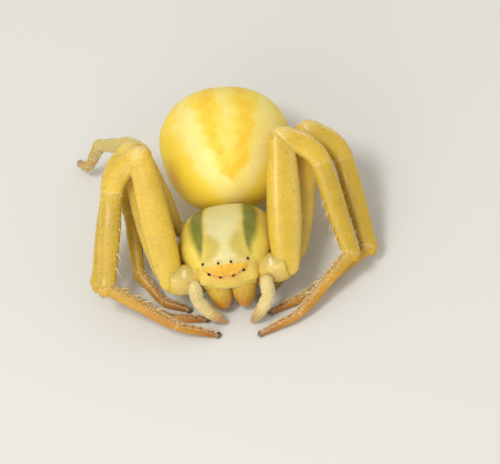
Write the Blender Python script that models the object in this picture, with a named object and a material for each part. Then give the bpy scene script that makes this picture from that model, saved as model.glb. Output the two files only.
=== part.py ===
"""A female crab spider as a still, life-size model in its waiting pose.

Sizes are in millimetres. The body frame has its origin in the middle of the
carapace at the height of its rim, with +Z up. The spider faces -Y and +X is its
left. At the end the model is moved to stand on Z = 0 over its own middle.
"""

import math
import random

import bmesh
import bpy
from mathutils import Matrix, Vector

MM = 0.001
GAP = 0.22  # between two nodes that meet
SEED = 11

# Driving sizes
CARAPACE_WIDTH = 4.1
ABDOMEN_LENGTH = 5.55
ABDOMEN_WIDTH = 5.75
ABDOMEN_HEIGHT = 4.3
FLOOR = -2.1  # height of the floor, under the rim of the carapace

# Carapace and sternum as shares of the carapace's width:
# place along Y, half width, height of the crown, depth of the underside
BODY_STATIONS = (
    (0.425, 0.13, 0.02, -0.13),
    (0.395, 0.25, 0.08, -0.17),
    (0.325, 0.36, 0.15, -0.21),
    (0.215, 0.445, 0.215, -0.24),
    (0.08, 0.492, 0.265, -0.26),
    (-0.06, 0.50, 0.29, -0.27),
    (-0.19, 0.488, 0.298, -0.27),
    (-0.30, 0.445, 0.292, -0.25),
    (-0.39, 0.39, 0.275, -0.22),
    (-0.465, 0.345, 0.25, -0.14),
    (-0.525, 0.322, 0.215, -0.085),
    (-0.565, 0.31, 0.155, -0.078),
    (-0.592, 0.3, 0.085, -0.072),
    (-0.608, 0.285, 0.0, -0.066),
)
BODY_SIDES = 28
RIM_SHARPNESS = 0.8  # under 1 draws the rim of the carapace out

# Eyes: half spacing, place along Y, height, radius
EYES = {
    "eye_front_middle": (0.286, -2.40, 0.42, 0.115),
    "eye_front_side": (0.735, -2.22, 0.50, 0.125),
    "eye_rear_middle": (0.285, -2.10, 0.93, 0.095),
    "eye_rear_side": (0.945, -1.86, 0.70, 0.11),
}
EYE_GAP = 0.06
TUBERCLE = 1.9  # radius of an eye's mound, as a share of the eye's

# Jaws, from the lower edge of the face to the tip
JAW_TOP, JAW_TIP = Vector((0.62, -2.2, -0.35)), Vector((0.45, -2.5, -1.62))
JAW_BREADTH, JAW_DEPTH = 1.16, 0.8
JAW_RUN = ((0.0, 0.96), (0.2, 1.0), (0.45, 0.95), (0.7, 0.78), (0.92, 0.52))
JAW_CEILING = -0.355 - GAP  # under the edge of the face
FANG_LENGTH, FANG_BREADTH = 0.42, 0.16

# Feelers: hip under the face, knee beside it, shin, wrist and tip, for the left one
PALP_LEFT = (
    (1.58, -2.15, -0.78),
    (1.6, -2.64, -0.04),
    (1.58, -2.95, -0.6),
    (1.26, -3.12, -1.2),
    (0.68, -3.24, -1.82),
)
PALP_RIGHT = (
    (1.58, -2.05, -0.78),
    (1.52, -2.38, -0.04),
    (1.5, -2.68, -0.6),
    (1.16, -2.92, -1.2),
    (0.52, -3.06, -1.82),
)
PALP_ROOT = (0.85, -1.35, -0.95)
PALP_BREADTH = 0.5
PALP_RUN = ((0.0, 0.9), (0.3, 1.0), (0.7, 1.0), (1.0, 0.96))

# Legs by number, front to rear. Lengths are femur, patella, tibia, metatarsus, tarsus
LENGTHS = {
    1: (5.44, 2.0, 4.1, 3.42, 1.85),
    2: (5.14, 1.98, 3.97, 3.37, 1.77),
    3: (3.4, 1.36, 2.61, 1.7, 1.2),
    4: (3.58, 1.4, 2.38, 1.78, 1.24),
}
BREADTHS = {
    1: (1.42, 0.98, 0.95, 0.56, 0.46),
    2: (1.3, 0.94, 0.92, 0.54, 0.46),
    3: (0.82, 0.66, 0.64, 0.5, 0.42),
    4: (0.82, 0.68, 0.62, 0.5, 0.42),
}
THINNESS = {1: 0.7, 2: 0.7, 3: 0.85, 4: 0.85}  # thickness across the leg's plane
HIPS = {1: (2.51, -1.93, -0.045), 2: (2.86, -0.75, -0.5), 3: (2.76, 0.38, -0.85), 4: (2.24, 1.34, -0.48)}
COXA_ROOTS = {1: (0.95, -1.15, -0.75), 2: (1.1, -0.45, -0.8), 3: (1.1, 0.25, -0.8), 4: (0.95, 0.85, -0.75)}
COXA_BREADTHS = {1: 1.15, 2: 1.0, 3: 0.8, 4: 0.8}

# Pose: turn and rise in degrees of the femur, patella, tibia and metatarsus, then the
# turn of the tarsus, whose rise follows from the floor. A turn of 0 points outwards
# and 90 to the rear.
POSE = {
    ("left", 1): ((84, 34), (-27, -29), (-77, -38), (-142, -20), -163),
    ("right", 1): ((82, 41), (-26, -35), (-77, -35), (-150, -22), -173),
    ("left", 2): ((75, 30), (-32, -32), (-80, -35), (-149, -10), -162),
    ("right", 2): ((80, 39), (-42, -37), (-69, -42), (-146, -11), -172),
    ("left", 3): ((66, 18), (-118, -34), (-113, -32), (-118, -6), -138),
    ("right", 3): ((67, 29), (-80, -36), (-91, -31), (-125, -18), -154),
    ("left", 4): ((61, 31), (77, -41), (82, -61), (-114, -6), -113),
    ("right", 4): ((68, 46), (45, -16), (50, -37), (12, -63), 63),
}
TIP_RADIUS = 0.13

# How the breadth of each segment runs from its start to its end
FEMUR_RUN = ((0.0, 0.74), (0.08, 0.88), (0.18, 0.99), (0.34, 1.03), (0.58, 0.98), (0.78, 0.9), (0.9, 0.83))
PATELLA_RUN = ((0.25, 1.08), (0.6, 1.02), (0.9, 0.98))
TIBIA_RUN = ((0.1, 0.95), (0.35, 1.0), (0.65, 0.93), (0.9, 0.84))
METATARSUS_RUN = ((0.12, 1.0), (0.5, 0.88), (0.92, 0.76))
TARSUS_RUN = ((0.1, 0.9), (0.5, 0.84), (1.0, 0.62))
KNEE_SHARE, PATELLA_SHARE = 0.92, 1.24  # breadth of the femur and of the patella at the knee
ANKLE_SHARE, SHIN_SHARE = 1.05, 0.9  # of the metatarsus and of the tibia where they meet
TURN_REACH = 0.25  # how far a segment runs on past the plane that parts it from the next
PATELLA_BOW = 0.29  # how far the patella bows outwards at its middle, as a share of its breadth
SHIN_START = 0.84  # where the tibia starts inside the patella, as a share of its length
LIMB_SIDES = 12

# Spines in pairs under the tibia and metatarsus of legs 1 and 2
SPINE_LENGTH, SPINE_ROOT = 0.5, 0.15
SPINE_SPREAD = math.radians(34)
SPINE_LEAN = 0.85  # towards the tip of the leg
TIBIA_SPINES = (0.36, 0.5, 0.64, 0.78)
METATARSUS_SPINES = (0.14, 0.32, 0.5, 0.68)
CLAW_LENGTH, CLAW_ROOT = 0.3, 0.11

# Abdomen: where the middle lies, how it is turned, and its outline as shares of the
# length, the half width and the half height
ABDOMEN_MIDDLE = Vector((0.26, 4.72, 0.42))
ABDOMEN_PITCH, ABDOMEN_TWIST = math.radians(20), math.radians(8)
ABDOMEN_STATIONS = (
    (0.0, 0.31, 0.30, -0.28),
    (0.045, 0.54, 0.54, -0.48),
    (0.11, 0.70, 0.74, -0.66),
    (0.19, 0.82, 0.87, -0.78),
    (0.28, 0.90, 0.94, -0.87),
    (0.38, 0.95, 0.985, -0.94),
    (0.48, 0.985, 1.0, -0.98),
    (0.58, 1.0, 0.99, -1.0),
    (0.68, 0.965, 0.94, -0.98),
    (0.77, 0.885, 0.85, -0.92),
    (0.85, 0.775, 0.73, -0.82),
    (0.92, 0.61, 0.56, -0.66),
    (0.97, 0.41, 0.35, -0.46),
    (0.993, 0.2, 0.15, -0.25),
)
ABDOMEN_SIDES = 36
SPINNERET_PLACE = (0.945, -0.46)  # along the abdomen and below its middle
SPINNERET_LENGTH, SPINNERET_BREADTH = 0.4, 0.34
SPINNERET_OFF = 0.48  # from the skin of the abdomen to where the cones are fused

COLOURS = {
    "body": (0.80, 0.62, 0.12),
    "abdomen": (0.86, 0.68, 0.07),
    "legs": (0.80, 0.58, 0.10),
    "palps": (0.86, 0.74, 0.40),
    "jaws": (0.80, 0.50, 0.08),
    "eyes": (0.03, 0.012, 0.01),
}
ROUGHNESS = {"eyes": 0.1}


def clear_scene():
    for old in list(bpy.data.objects):
        bpy.data.objects.remove(old)


def material(kind):
    found = bpy.data.materials.get(kind)
    if found:
        return found
    made = bpy.data.materials.new(kind)
    made.use_nodes = True
    shader = made.node_tree.nodes["Principled BSDF"]
    shader.inputs["Base Color"].default_value = (*COLOURS[kind], 1)
    shader.inputs["Roughness"].default_value = ROUGHNESS.get(kind, 0.42)
    shader.inputs["Metallic"].default_value = 0
    return made


def add_object(bm, name, kind="body"):
    """The mesh as an object, in millimetres until settle() scales it."""
    bmesh.ops.recalc_face_normals(bm, faces=bm.faces)
    mesh = bpy.data.meshes.new(name)
    bm.to_mesh(mesh)
    bm.free()
    mesh.shade_smooth()
    mesh.materials.append(material(kind))
    made = bpy.data.objects.new(name, mesh)
    bpy.context.scene.collection.objects.link(made)
    return made


def loft(rings, start=None, end=None):
    """A closed skin over rings of points, each end drawn to a point or left flat."""
    bm = bmesh.new()
    loops = [[bm.verts.new(p) for p in ring] for ring in rings]
    for low, high in zip(loops, loops[1:]):
        for i in range(len(low)):
            j = (i + 1) % len(low)
            bm.faces.new((low[i], low[j], high[j], high[i]))
    for loop, tip in ((loops[0], start), (loops[-1], end)):
        if tip is None:
            bm.faces.new(loop)
            continue
        point = bm.verts.new(tip)
        for i, vert in enumerate(loop):
            bm.faces.new((vert, loop[(i + 1) % len(loop)], point))
    return bm


def cut(bm, place, normal):
    """Removes what lies beyond a plane and closes the cut with a flat face."""
    geometry = bm.verts[:] + bm.edges[:] + bm.faces[:]
    done = bmesh.ops.bisect_plane(bm, geom=geometry, plane_co=place, plane_no=normal, clear_outer=True)
    edges = [e for e in done["geom_cut"] if isinstance(e, bmesh.types.BMEdge)]
    if edges:
        bmesh.ops.contextual_create(bm, geom=edges)


def keep_largest(bm):
    """Drops loose scraps and sealed hollows, which leaves one closed surface."""
    left, groups = set(bm.verts), []
    while left:
        group, edge_of = [], [left.pop()]
        while edge_of:
            vert = edge_of.pop()
            group.append(vert)
            for edge in vert.link_edges:
                other = edge.other_vert(vert)
                if other in left:
                    left.remove(other)
                    edge_of.append(other)
        groups.append(group)
    groups.sort(key=len)
    bmesh.ops.delete(bm, geom=[v for g in groups[:-1] for v in g], context="VERTS")


def combine(target, pieces, operation="UNION"):
    """One Boolean of the pieces on the target. The pieces are then removed."""
    group = bpy.data.collections.new(target.name + "_pieces")
    bpy.context.scene.collection.children.link(group)
    for piece in pieces:
        bpy.context.scene.collection.objects.unlink(piece)
        group.objects.link(piece)
    step = target.modifiers.new("combine", "BOOLEAN")
    step.operation, step.operand_type, step.collection = operation, "COLLECTION", group
    graph = bpy.context.evaluated_depsgraph_get()
    bm = bmesh.new()
    bm.from_object(target, graph)
    target.modifiers.remove(step)
    for piece in pieces:
        bpy.data.objects.remove(piece)
    bpy.data.collections.remove(group)
    keep_largest(bm)
    bmesh.ops.dissolve_degenerate(bm, dist=1e-4, edges=bm.edges)
    bmesh.ops.triangulate(bm, faces=[f for f in bm.faces if len(f.verts) > 4])
    bm.to_mesh(target.data)
    bm.free()
    return target


def ring(centre, across, up, sides):
    turns = [2 * math.pi * i / sides for i in range(sides)]
    return [centre + across * math.cos(a) + up * math.sin(a) for a in turns]


def spike(name, root, way, length, radius, sides=4):
    """A pointed spine whose root is sunk in what it grows from."""
    way = way.normalized()
    side = way.orthogonal().normalized()
    bm = bmesh.new()
    low = ring(root - way * radius, side * radius, way.cross(side) * radius, sides)
    loop = [bm.verts.new(p) for p in low]
    point = bm.verts.new(root + way * length)
    bm.faces.new(loop)
    for i, vert in enumerate(loop):
        bm.faces.new((vert, loop[(i + 1) % len(loop)], point))
    return add_object(bm, name)


def direction(side, turn, rise):
    turn, rise = math.radians(turn), math.radians(rise)
    outwards = side * math.cos(turn) * math.cos(rise)
    return Vector((outwards, math.sin(turn) * math.cos(rise), math.sin(rise)))


def leg_joints(side_name, number):
    """The joints from the hip to the tip of the foot, which rests on the floor."""
    side = 1 if side_name == "left" else -1
    x, y, z = HIPS[number]
    joints = [Vector((side * x, y, z))]
    pose = POSE[side_name, number]
    for length, (turn, rise) in zip(LENGTHS[number], pose[:4]):
        joints.append(joints[-1] + direction(side, turn, rise) * length)
    length = LENGTHS[number][4]
    drop = (FLOOR + TIP_RADIUS * 0.8 - joints[-1].z) / length
    rise = math.degrees(math.asin(max(-1, min(1, drop))))
    joints.append(joints[-1] + direction(side, pose[4], rise) * length)
    return joints


def run_along(start, end, breadth, run):
    return [(start.lerp(end, t), breadth * share) for t, share in run]


def limb(stations, normal, thinness, head, tail, sides=LIMB_SIDES):
    """A rounded tube through stations of (place, breadth). head and tail say how long each
    rounded end is, as a share of its own radius."""
    places = [p for p, _ in stations]
    ways = []
    for i in range(len(places)):
        a, b = places[max(0, i - 1)], places[min(len(places) - 1, i + 1)]
        ways.append((b - a).normalized())
    rings = []

    def add(place, way, breadth):
        flat = (normal - way * normal.dot(way)).normalized()
        across = way.cross(flat).normalized()
        rings.append(ring(place, across * breadth / 2, flat * breadth / 2 * thinness, sides))

    first, last = stations[0], stations[-1]
    for a in (60, 30):
        reach, size = math.sin(math.radians(a)), math.cos(math.radians(a))
        add(first[0] - ways[0] * reach * head * first[1] / 2, ways[0], first[1] * size)
    for (place, breadth), way in zip(stations, ways):
        add(place, way, breadth)
    for a in (30, 60):
        reach, size = math.sin(math.radians(a)), math.cos(math.radians(a))
        add(last[0] + ways[-1] * reach * tail * last[1] / 2, ways[-1], last[1] * size)
    start = first[0] - ways[0] * head * first[1] / 2
    end = last[0] + ways[-1] * tail * last[1] / 2
    return loft(rings, start, end)


def mitre(before, joint, after):
    """The normal of the plane that parts two segments at their joint."""
    return ((joint - before).normalized() + (after - joint).normalized()).normalized()


def turned_end(joint, plane, breadth):
    """Stations that round a segment off at a bent joint, where a plane then cuts it."""
    return [(joint, breadth), (joint + plane * TURN_REACH, breadth * 0.9)]


def turned_start(joint, plane, breadth):
    return [(joint - plane * TURN_REACH, breadth * 0.9), (joint, breadth)]


def leg_plane(joints):
    """The normal of the plane that the leg bends in."""
    return (joints[1] - joints[0]).cross(joints[3] - joints[1]).normalized()


def inner_way(joints, a, b):
    """Across a segment towards the hollow side of the leg, and along it to the tip."""
    along = (joints[b] - joints[a]).normalized()
    hollow = (joints[0] + joints[5]) / 2 - (joints[a] + joints[b]) / 2
    return (hollow - along * hollow.dot(along)).normalized(), along


def bowed(joints, breadth, share):
    """A place along the patella, which bows away from the hollow of the leg."""
    inner, _ = inner_way(joints, 1, 2)
    return joints[1].lerp(joints[2], share) - inner * PATELLA_BOW * breadth * 4 * share * (1 - share)


def spines(name, joints, a, b, places, breadth, thinness, normal, draw):
    made = []
    inner, along = inner_way(joints, a, b)
    flat = (normal - along * normal.dot(along)).normalized()
    for place in places:
        for sign in (-1, 1):
            spot = joints[a].lerp(joints[b], place + draw.uniform(-0.02, 0.02))
            out = inner * math.cos(SPINE_SPREAD) + flat * sign * math.sin(SPINE_SPREAD)
            depth = inner * math.cos(SPINE_SPREAD) + flat * sign * math.sin(SPINE_SPREAD) * thinness
            root = spot + depth * breadth * 0.40
            way = out + along * SPINE_LEAN
            length = SPINE_LENGTH * draw.uniform(0.85, 1.1)
            made.append(spike(f"{name}_spine_{place}_{sign}", root, way, length, SPINE_ROOT / 2))
    return made


def claws(name, joints, normal):
    along = (joints[5] - joints[4]).normalized()
    flat = (normal - along * normal.dot(along)).normalized()
    made = []
    for sign in (-1, 1):
        root = joints[5] + flat * sign * 0.06 + Vector((0, 0, 0.03))
        way = along + flat * sign * 0.25 + Vector((0, 0, 0.12))
        made.append(spike(f"{name}_claw_{sign}", root, way, CLAW_LENGTH, CLAW_ROOT / 2))
    return made


def floor_cut(node):
    bm = bmesh.new()
    bm.from_mesh(node.data)
    cut(bm, Vector((0, 0, FLOOR)), Vector((0, 0, -1)))
    bmesh.ops.recalc_face_normals(bm, faces=bm.faces)
    bm.to_mesh(node.data)
    bm.free()


def make_leg(side_name, number, draw):
    name = f"leg_{number}_{side_name}"
    joints = leg_joints(side_name, number)
    normal = leg_plane(joints)
    thin = THINNESS[number]
    femur, patella, tibia, metatarsus, tarsus = BREADTHS[number]
    half_gap = GAP / 2
    folded = number == 3
    knee = mitre(joints[0], joints[1], joints[3] if folded else bowed(joints, patella, 0.15))
    ankle = mitre(joints[2], joints[3], joints[4])

    thigh = run_along(joints[0], joints[1], femur, FEMUR_RUN)
    thigh += turned_end(joints[1], knee, femur * KNEE_SHARE)
    bm = limb(thigh, normal, thin, 0.9, 0.2)
    cut(bm, joints[1] - knee * half_gap, knee)
    add_object(bm, name + "_femur", "legs")

    cap = turned_start(joints[1], knee, patella * PATELLA_SHARE)
    cap += [(bowed(joints, patella, share), patella * size) for share, size in PATELLA_RUN]
    bm = limb(cap, normal, thin, 0.2, 0.7)
    cut(bm, joints[1] + knee * half_gap, -knee)
    pieces = [add_object(bm, name + "_patella", "legs")]
    shin = [(bowed(joints, patella, SHIN_START), tibia * 0.86)]
    shin += run_along(joints[2], joints[3], tibia, TIBIA_RUN)
    shin += turned_end(joints[3], ankle, tibia * SHIN_SHARE)
    bm = limb(shin, normal, thin, 0.4, 0.2)
    if folded:
        cut(bm, joints[1] + knee * half_gap, -knee)
    cut(bm, joints[3] - ankle * half_gap, ankle)
    node = add_object(bm, name + "_tibia", "legs")
    if number < 3:
        pieces += spines(node.name, joints, 2, 3, TIBIA_SPINES, tibia, thin, normal, draw)
    combine(node, pieces)

    foot = turned_start(joints[3], ankle, metatarsus * ANKLE_SHARE)
    foot += run_along(joints[3], joints[4], metatarsus, METATARSUS_RUN)
    foot += run_along(joints[4], joints[5], tarsus, TARSUS_RUN)
    bm = limb(foot, normal, max(thin, 0.9), 0.2, 0.8)
    cut(bm, joints[3] + ankle * half_gap, -ankle)
    node = add_object(bm, name + "_foot", "legs")
    pieces = claws(node.name, joints, normal)
    if number < 3:
        pieces += spines(node.name, joints, 3, 4, METATARSUS_SPINES, metatarsus, 0.9, normal, draw)
    combine(node, pieces)
    floor_cut(node)


def coxa_root(side_name, number):
    x, y, z = COXA_ROOTS[number]
    return Vector((x if side_name == "left" else -x, y, z))


def coxa(side_name, number):
    """The hip of one leg, a stout knob that reaches the base of the femur."""
    root = coxa_root(side_name, number)
    joints = leg_joints(side_name, number)
    breadth = COXA_BREADTHS[number]
    run = ((0.0, 0.8), (0.4, 0.96), (0.65, 1.0), (0.85, 0.94))
    bm = limb(run_along(root, joints[0], breadth, run), Vector((0, 0, 1)), 0.9, 0.6, 0.9)
    return add_object(bm, f"coxa_{number}_{side_name}")


def room_for(name, stations, normal, thinness, head=1.0, tail=1.0):
    """A limb grown by the gap on every side, which cuts its seat in what carries it."""
    grown = [(place, breadth + 2 * GAP) for place, breadth in stations]
    broadest = max(breadth for _, breadth in stations)
    ratio = (broadest * thinness + 2 * GAP) / (broadest + 2 * GAP)
    return add_object(limb(grown, normal, ratio, head, tail), name)


def femur_room(side_name, number):
    joints = leg_joints(side_name, number)
    stations = run_along(joints[0], joints[1], BREADTHS[number][0], FEMUR_RUN)
    return room_for(f"room_{number}_{side_name}", stations, leg_plane(joints), THINNESS[number], 0.9)


def body_ring(along, half_width, crown, keel):
    """A cross-section of the carapace above and the sternum below."""
    points = []
    for i in range(BODY_SIDES):
        angle = 2 * math.pi * i / BODY_SIDES
        c, s = math.cos(angle), math.sin(angle)
        reach = math.copysign(abs(c) ** RIM_SHARPNESS, c)
        if s >= 0:
            x, z = reach * half_width, crown * s
        else:
            x, z = reach * half_width * (1 + 0.3 * s), keel * -s
        points.append(Vector((x, along, z)) * CARAPACE_WIDTH)
    return points


def eye_places():
    """Name, place and radius of each of the eight eyes."""
    found = []
    for name, (x, y, z, radius) in EYES.items():
        for side_name, side in (("left", 1), ("right", -1)):
            found.append((f"{name}_{side_name}", Vector((side * x, y, z)), radius))
    return found


def ball(name, place, radius, kind="body", rings=6):
    bm = bmesh.new()
    bmesh.ops.create_uvsphere(bm, u_segments=rings + 4, v_segments=rings, radius=radius)
    bmesh.ops.translate(bm, verts=bm.verts, vec=place)
    return add_object(bm, name, kind)


def make_cephalothorax():
    rings = [body_ring(*station) for station in BODY_STATIONS]
    node = add_object(loft(rings), "cephalothorax")
    pieces = [coxa(side, number) for side in ("left", "right") for number in HIPS]
    head = Vector((0, -1.3, 0.1))
    for name, place, radius in eye_places():
        mound = place + (head - place).normalized() * radius * 0.9
        pieces.append(ball(name + "_mound", mound, radius * TUBERCLE))
    pieces += [palp_coxa(1), palp_coxa(-1)]
    pieces.append(mouthparts())
    pieces.append(waist())
    combine(node, pieces)
    rooms = [ball(name + "_socket", place, radius + EYE_GAP) for name, place, radius in eye_places()]
    rooms += [femur_room(side, number) for side in ("left", "right") for number in HIPS]
    rooms += [room_for(f"jaw_room_{side}", *jaw_shape(side)) for side in (1, -1)]
    rooms += [room_for(f"palp_room_{side}", *palp_base(side)) for side in (1, -1)]
    combine(node, rooms, "DIFFERENCE")


def mouthparts():
    """The lip and the pads beside it, behind the jaws."""
    stations = [(Vector((0, -1.3, -0.85)), 1.3), (Vector((0, -1.62, -1.02)), 1.15), (Vector((0, -1.8, -1.2)), 0.8)]
    return add_object(limb(stations, Vector((0, -1, 0.4)).normalized(), 0.5, 0.6, 0.6), "mouthparts")


def waist():
    stations = [(Vector((0, 1.2, -0.25)), 0.75), (Vector((0, 1.62, -0.25)), 0.6), (Vector((0.02, 1.72, -0.24)), 0.56)]
    return add_object(limb(stations, Vector((0, 0, 1)), 0.9, 0.8, 0.3), "waist")


def make_eyes():
    for name, place, radius in eye_places():
        ball(name, place, radius, "eyes", 8)


def jaw_shape(side):
    """Stations, facing, thinness and end lengths of one jaw, for limb()."""
    top = Vector((side * JAW_TOP.x, JAW_TOP.y, JAW_TOP.z))
    tip = Vector((side * JAW_TIP.x, JAW_TIP.y, JAW_TIP.z))
    return run_along(top, tip, JAW_BREADTH, JAW_RUN), Vector((0, -1, 0)), JAW_DEPTH, 0.2, 0.55


def make_jaws():
    for side_name, side in (("left", 1), ("right", -1)):
        tip = Vector((side * JAW_TIP.x, JAW_TIP.y, JAW_TIP.z))
        bm = limb(*jaw_shape(side))
        cut(bm, Vector((side * GAP / 2, 0, 0)), Vector((-side, 0, 0)))
        cut(bm, Vector((0, 0, JAW_CEILING)), Vector((0, 0, 1)))
        node = add_object(bm, f"chelicera_{side_name}", "jaws")
        root = tip + Vector((0, 0.02, 0.08))
        fang = spike(f"fang_{side_name}", root, Vector((-side * 0.75, 0.45, -0.35)), FANG_LENGTH, FANG_BREADTH / 2)
        combine(node, [fang])


def palp_points(side):
    points = PALP_LEFT if side > 0 else PALP_RIGHT
    return [Vector((side * x, y, z)) for x, y, z in points]


def palp_base(side):
    """Stations, facing, thinness and end lengths of the first part of a feeler."""
    hip, knee, _, _, tip = palp_points(side)
    normal = (knee - hip).cross(tip - knee).normalized()
    return run_along(hip, knee, PALP_BREADTH, PALP_RUN), normal, 0.95, 0.7, 1.0


def palp_coxa(side):
    """The knob under the head that a feeler grows from."""
    root = Vector((side * PALP_ROOT[0], PALP_ROOT[1], PALP_ROOT[2]))
    run = ((0.0, 1.3), (0.4, 1.2), (0.9, 1.05))
    stations = run_along(root, palp_points(side)[0], PALP_BREADTH, run)
    return add_object(limb(stations, Vector((0, 0, 1)), 0.95, 0.6, 0.9), f"palp_coxa_{side}")


def make_palps():
    for side_name, side in (("left", 1), ("right", -1)):
        hip, knee, shin, wrist, tip = palp_points(side)
        normal = (knee - hip).cross(tip - knee).normalized()
        plane = mitre(hip, knee, shin)
        bm = limb(*palp_base(side))
        cut(bm, knee - plane * GAP / 2, plane)
        add_object(bm, f"palp_{side_name}_femur", "palps")
        stations = run_along(knee, shin, PALP_BREADTH, ((0.0, 0.96), (0.6, 1.0)))
        stations += run_along(shin, wrist, PALP_BREADTH, ((0.1, 0.98), (0.7, 0.94)))
        stations += run_along(wrist, tip, PALP_BREADTH, ((0.15, 0.92), (0.6, 0.86), (0.9, 0.64)))
        bm = limb(stations, normal, 0.95, 1.0, 0.8)
        cut(bm, knee + plane * GAP / 2, -plane)
        add_object(bm, f"palp_{side_name}_tarsus", "palps")


def abdomen_matrix():
    turn = Matrix.Rotation(ABDOMEN_PITCH, 4, "X") @ Matrix.Rotation(ABDOMEN_TWIST, 4, "Y")
    return Matrix.Translation(ABDOMEN_MIDDLE) @ turn


def make_abdomen():
    rings, turn = [], abdomen_matrix()
    half_width, half_height = ABDOMEN_WIDTH / 2, ABDOMEN_HEIGHT / 2
    for along, width, top, belly in ABDOMEN_STATIONS:
        points = []
        for i in range(ABDOMEN_SIDES):
            angle = 2 * math.pi * i / ABDOMEN_SIDES
            c, s = math.cos(angle), math.sin(angle)
            height = top if s > 0 else -belly
            y = (along - 0.5) * ABDOMEN_LENGTH
            points.append(turn @ Vector((c * width * half_width, y, s * height * half_height)))
        rings.append(points)
    front = turn @ Vector((0, -0.507 * ABDOMEN_LENGTH, 0))
    rear = turn @ Vector((0, 0.502 * ABDOMEN_LENGTH, -0.05 * ABDOMEN_HEIGHT))
    node = add_object(loft(rings, front, rear), "abdomen", "abdomen")
    make_spinnerets(turn)
    return node


def make_spinnerets(turn):
    """Three pairs of short spinning cones below the rear end, fused at their roots."""
    along, below = SPINNERET_PLACE
    rear = Vector((0, 1, -0.55)).normalized()
    start = Vector((0, (along - 0.5) * ABDOMEN_LENGTH, below * ABDOMEN_HEIGHT / 2)) + rear * SPINNERET_OFF
    node, pieces = None, []
    for row, (lift, share) in enumerate(((0.17, 1.0), (0.0, 0.8), (-0.17, 0.95))):
        for side in (-1, 1):
            low = start + Vector((side * 0.13, -lift * 0.5, lift))
            high = low + (rear + Vector((side * 0.12, 0, lift))).normalized() * SPINNERET_LENGTH * share
            stations = [(turn @ low, SPINNERET_BREADTH), (turn @ low.lerp(high, 0.6), SPINNERET_BREADTH * 0.9)]
            stations.append((turn @ high, SPINNERET_BREADTH * 0.6))
            bm = limb(stations, Vector((1, 0, 0)), 1.0, 0.3, 0.5, 8)
            piece = add_object(bm, f"spinneret_{row}_{side}", "abdomen")
            if node is None:
                node = piece
                node.name = "spinnerets"
            else:
                pieces.append(piece)
    combine(node, pieces)


def settle():
    """Stands the model on Z = 0 with its middle over the origin, and scales it to metres."""
    nodes = [o for o in bpy.context.scene.objects if o.type == "MESH"]
    points = [v.co for o in nodes for v in o.data.vertices]
    low = Vector([min(p[i] for p in points) for i in range(3)])
    high = Vector([max(p[i] for p in points) for i in range(3)])
    shift = Vector((-(low.x + high.x) / 2, -(low.y + high.y) / 2, -FLOOR))
    for node in nodes:
        node.data.transform(Matrix.Scale(MM, 4) @ Matrix.Translation(shift))


def main():
    clear_scene()
    draw = random.Random(SEED)
    make_cephalothorax()
    make_eyes()
    make_jaws()
    make_palps()
    make_abdomen()
    for side in ("left", "right"):
        for number in HIPS:
            make_leg(side, number, draw)
    settle()


main()
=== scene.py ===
"""The looks of a female crab spider, dressed over its solids.

Sizes are in millimetres in the body frame of the solids. Its origin is in the middle of the
carapace at the height of its rim, with +Z up. The spider faces -Y and +X is its left.
place() takes a finished mesh to the metres of the frame.
"""

import math

import bpy
import numpy as np
from mathutils import Matrix, Vector


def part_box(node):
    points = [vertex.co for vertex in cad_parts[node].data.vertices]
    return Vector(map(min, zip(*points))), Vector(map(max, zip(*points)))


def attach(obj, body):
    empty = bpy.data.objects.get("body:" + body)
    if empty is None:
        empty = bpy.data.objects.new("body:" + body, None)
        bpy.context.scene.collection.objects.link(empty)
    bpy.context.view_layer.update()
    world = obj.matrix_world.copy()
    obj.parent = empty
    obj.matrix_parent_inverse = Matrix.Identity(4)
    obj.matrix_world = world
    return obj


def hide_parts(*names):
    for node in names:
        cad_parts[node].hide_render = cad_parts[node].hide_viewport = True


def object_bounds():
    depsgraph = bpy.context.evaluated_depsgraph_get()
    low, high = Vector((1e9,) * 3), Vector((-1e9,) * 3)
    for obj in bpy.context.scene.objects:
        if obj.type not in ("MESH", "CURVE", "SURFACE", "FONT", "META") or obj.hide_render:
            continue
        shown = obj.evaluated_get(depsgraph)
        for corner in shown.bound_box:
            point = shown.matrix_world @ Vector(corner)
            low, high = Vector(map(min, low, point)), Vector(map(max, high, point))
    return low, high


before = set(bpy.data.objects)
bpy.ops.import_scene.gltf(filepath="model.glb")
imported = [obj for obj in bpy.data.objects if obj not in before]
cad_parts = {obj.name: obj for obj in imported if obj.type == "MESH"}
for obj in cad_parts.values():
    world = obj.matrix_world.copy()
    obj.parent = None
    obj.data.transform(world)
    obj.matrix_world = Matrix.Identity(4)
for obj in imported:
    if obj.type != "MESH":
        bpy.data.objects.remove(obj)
CAD_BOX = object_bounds()

MM = 0.001
SEED = 7
SIDES = (("left", 1), ("right", -1))
FLOOR = -2.1  # height of the floor, under the rim of the carapace

# Camera, fitted to the photograph: direction in degrees, distance, and the width it sees
CAMERA_RISE, CAMERA_TURN, CAMERA_ROLL = 50.0, 7.5, 13.7
CAMERA_DISTANCE, VIEW_WIDTH = 170.0, 21.58
CAMERA_AIM = (1.014, 0.259)  # across and up from the body's origin to the middle of the view
SENSOR = 36.0

# Lights: name, direction from the body, width, power and colour
LIGHTS = (
    ("key", (-0.32, -0.45, 1.15), 40, 0.114, (1.0, 0.98, 0.93)),
    ("fill", (-0.45, -1.0, 0.4), 120, 0.085, (1.0, 1.0, 1.0)),
)
LIGHT_DISTANCE, LIGHT_AIM = 160, (0, 1, 0)
SKY, SKY_STRENGTH = (1.0, 0.97, 0.92, 1), 0.64
STAGE_REACH, STAGE_COLOUR, STAGE_ROUGHNESS = 400, (0.72, 0.72, 0.7, 1), 0.8

# Skin and hair: how deep light goes in red, green and blue, the size of the soft patches
SUBSURFACE_RADIUS, SUBSURFACE_SCALE, SKIN_IOR, PATCH_SIZE = (1.0, 0.75, 0.25), 0.6, 1.45, 0.55
HAIR_ROUGHNESS, HAIR_SHINE = 0.38, 0.6

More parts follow.
